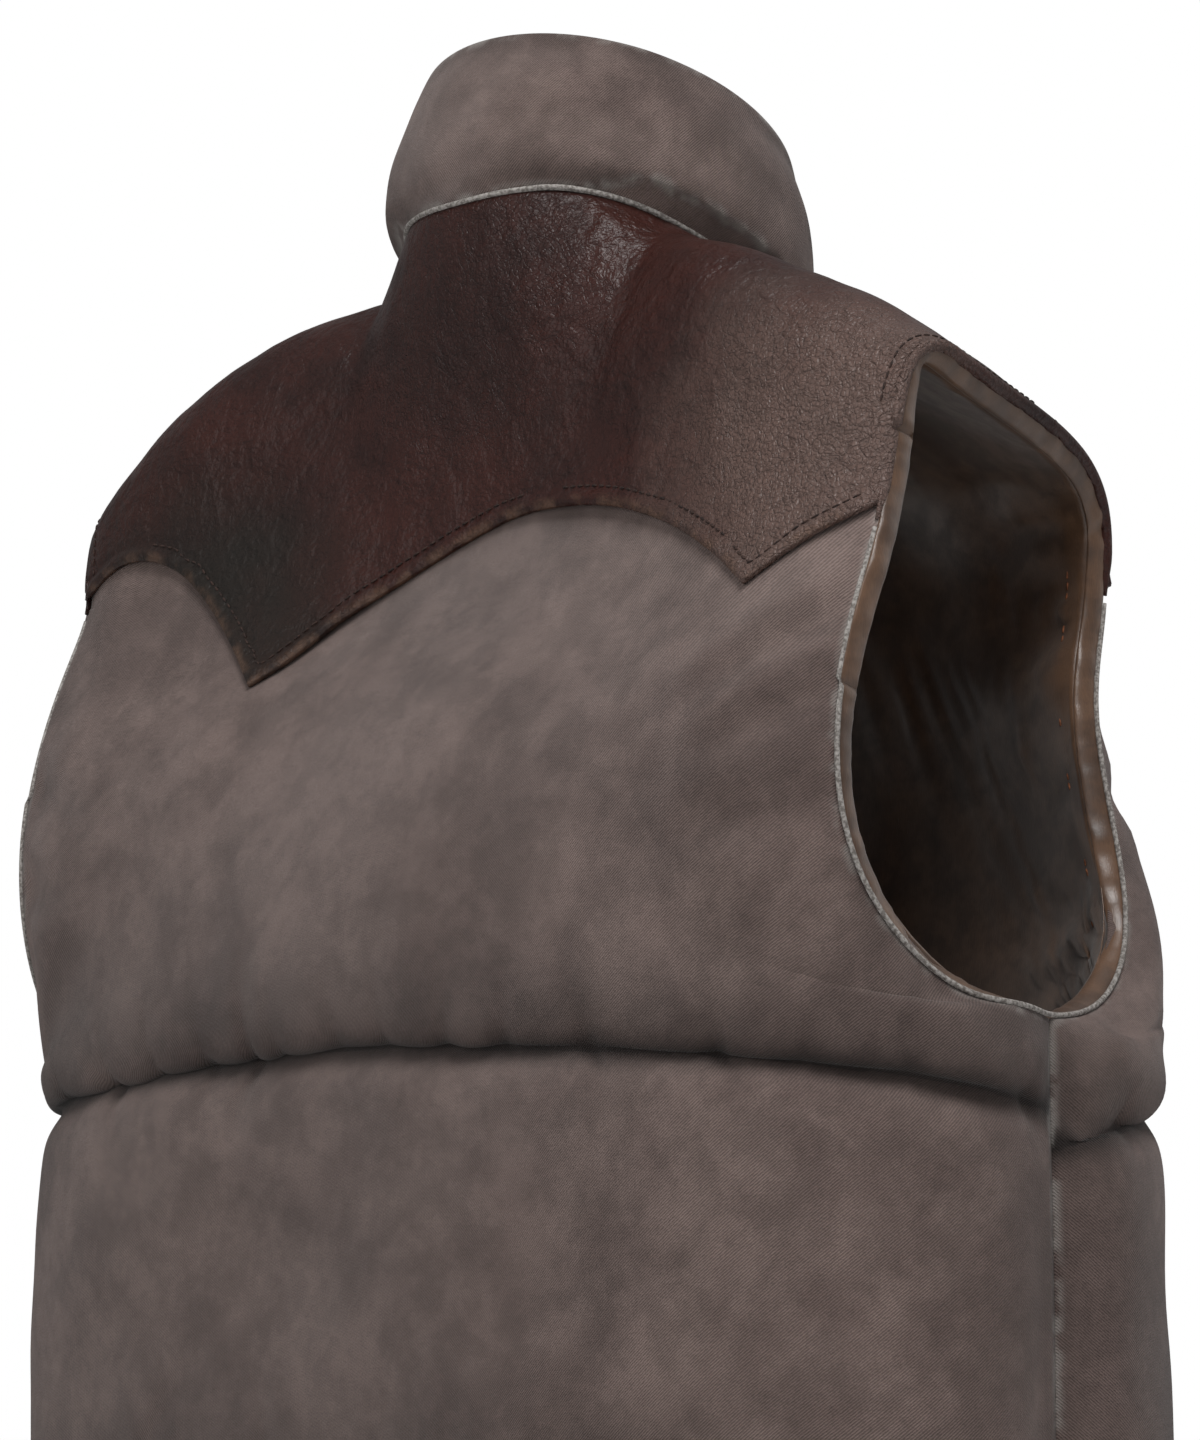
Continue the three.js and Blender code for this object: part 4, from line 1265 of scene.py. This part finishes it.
# Painted highlight: the right shoulder, where the light falls, is painted paler; the same mask makes the
# grain coarser there.
right = nearness(tree, where, (-0.175, 0.080, -0.100), 0.030, 0.10)
colour = mix_colours(tree, times(tree, right, 0.7), colour, LEATHER_SHOULDER_HIGHLIGHT)
worn = placed(tree, edge_wear, {"Vector": where, "Gap": read(tree, "lower_gap"), "Width": 0.005})["Mask"]
colour = mix_colours(tree, times(tree, worn, 0.5), colour, LEATHER_WORN)
collar_side = nearness(tree, where, (0.0, 0.075, -0.020), 0.040, 0.085)
grained = math_of(tree, "MAXIMUM", right, times(tree, collar_side, 0.6))
grained = span(tree, grained, 0, 1, 0.22, 1.0)
pebbles = span(tree, grain["Height"], 0, 1, 0.84, 1.03)
furrow = times(tree, pebbles, span(tree, grain["Creases"], 0, 1, 0.84, 1.0))
colour = shade(tree, colour, furrow)
tree.links.new(colour, shader.inputs["Base Color"])
tree.links.new(span(tree, patches, 0, 1, 0.45, 0.36), shader.inputs["Roughness"])
relief = plus(tree, grain["Height"], times(tree, grain["Creases"], 1.2))
coarse = placed(tree, leather_grain, {"Vector": where, "Size": 0.0032})["Height"]
relief = plus(tree, relief, times(tree, coarse, times(tree, right, 1.5)))
dents = placed(tree, soft_mottle, {"Vector": where, "Size": 0.024})["Mask"]
relief = plus(tree, times(tree, relief, grained), times(tree, dents, 4.5))
bump(tree, shader, relief, 0.00026, 0.9)

# %% Satin
SATIN_DARK = (0.052, 0.026, 0.014, 1)
SATIN_PALE = (0.115, 0.061, 0.034, 1)
satin, tree, shader, where = start("bronze_satin", 0.36)
shader.inputs["Sheen Weight"].default_value = 0.15
patches = placed(tree, soft_mottle, {"Vector": where, "Size": 0.03})["Mask"]
flattened = {0: where, 1: (1.0, 1.0, 0.12)}
stretched = add(tree, "ShaderNodeVectorMath", flattened, operation="MULTIPLY").outputs[0]
threads = noise_at(tree, stretched, 2600.0, detail=1.0).outputs["Fac"]
colour = mix_colours(tree, patches, SATIN_DARK, SATIN_PALE)
colour = shade(tree, colour, span(tree, threads, 0.3, 0.7, 0.9, 1.08))
tree.links.new(colour, shader.inputs["Base Color"])
tree.links.new(span(tree, patches, 0, 1, 0.42, 0.32), shader.inputs["Roughness"])
bump(tree, shader, threads, 0.00012, 0.5)


# %% Thread, frayed cord and snap metal
def thread_paint(name, dark, pale, roughness=0.8):
    paint, tree, shader, where = start(name, roughness, 0.3)
    ply = noise_at(tree, where, 900.0, detail=3.0).outputs["Fac"]
    tree.links.new(mix_colours(tree, span(tree, ply, 0.35, 0.65), dark, pale), shader.inputs["Base Color"])
    bump(tree, shader, ply, 0.0002, 0.8)
    return paint


brown_thread = thread_paint("brown_thread", (0.012, 0.007, 0.006, 1), (0.040, 0.021, 0.016, 1))
rust_thread = thread_paint("rust_thread", (0.13, 0.045, 0.02, 1), (0.27, 0.10, 0.045, 1))
grey_thread = thread_paint("grey_thread", (0.09, 0.075, 0.068, 1), (0.20, 0.175, 0.16, 1))
frayed = thread_paint("frayed_twill", (0.13, 0.115, 0.105, 1), (0.33, 0.31, 0.29, 1), 0.95)
snap_metal, tree, shader, where = start("aged_brass", 0.4)
shader.inputs["Metallic"].default_value = 1.0
tarnish = placed(tree, soft_mottle, {"Vector": where, "Size": 0.004})["Mask"]
tree.links.new(mix_colours(tree, tarnish, (0.12, 0.085, 0.055, 1), (0.34, 0.25, 0.16, 1)),
               shader.inputs["Base Color"])
tree.links.new(span(tree, tarnish, 0, 1, 0.55, 0.3), shader.inputs["Roughness"])

# %% Dress the pieces
looks = {name: twill for name in [*PANELS, "collar", "placket"]}
looks.update({lining: satin for lining in PANELS.values()})
looks["yoke"] = leather
for name, obj in cloth.items():
    obj.data.materials.append(looks[name])
sewn_looks = {"yoke_": brown_thread, "placket_": grey_thread, "lining_": rust_thread,
              "armhole_leather": leather, "armhole_satin": satin, "armhole_cord": frayed, "collar_": frayed}
for name, obj in sewing.items():
    paint = next(look for key, look in sewn_looks.items() if name.startswith(key))
    obj.data.materials.append(paint)
    mark(obj, "lower_gap", np.full(len(obj.data.vertices), FAR))
    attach(obj, "root")
for name, obj in NODES.items():
    if name.startswith("snap_"):
        obj.data.materials.clear()
        obj.data.materials.append(snap_metal)

# %% Finish
for name, obj in cloth.items():
    pick_only(obj)
    bpy.ops.object.shade_smooth()
    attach(obj, "root")
    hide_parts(name)
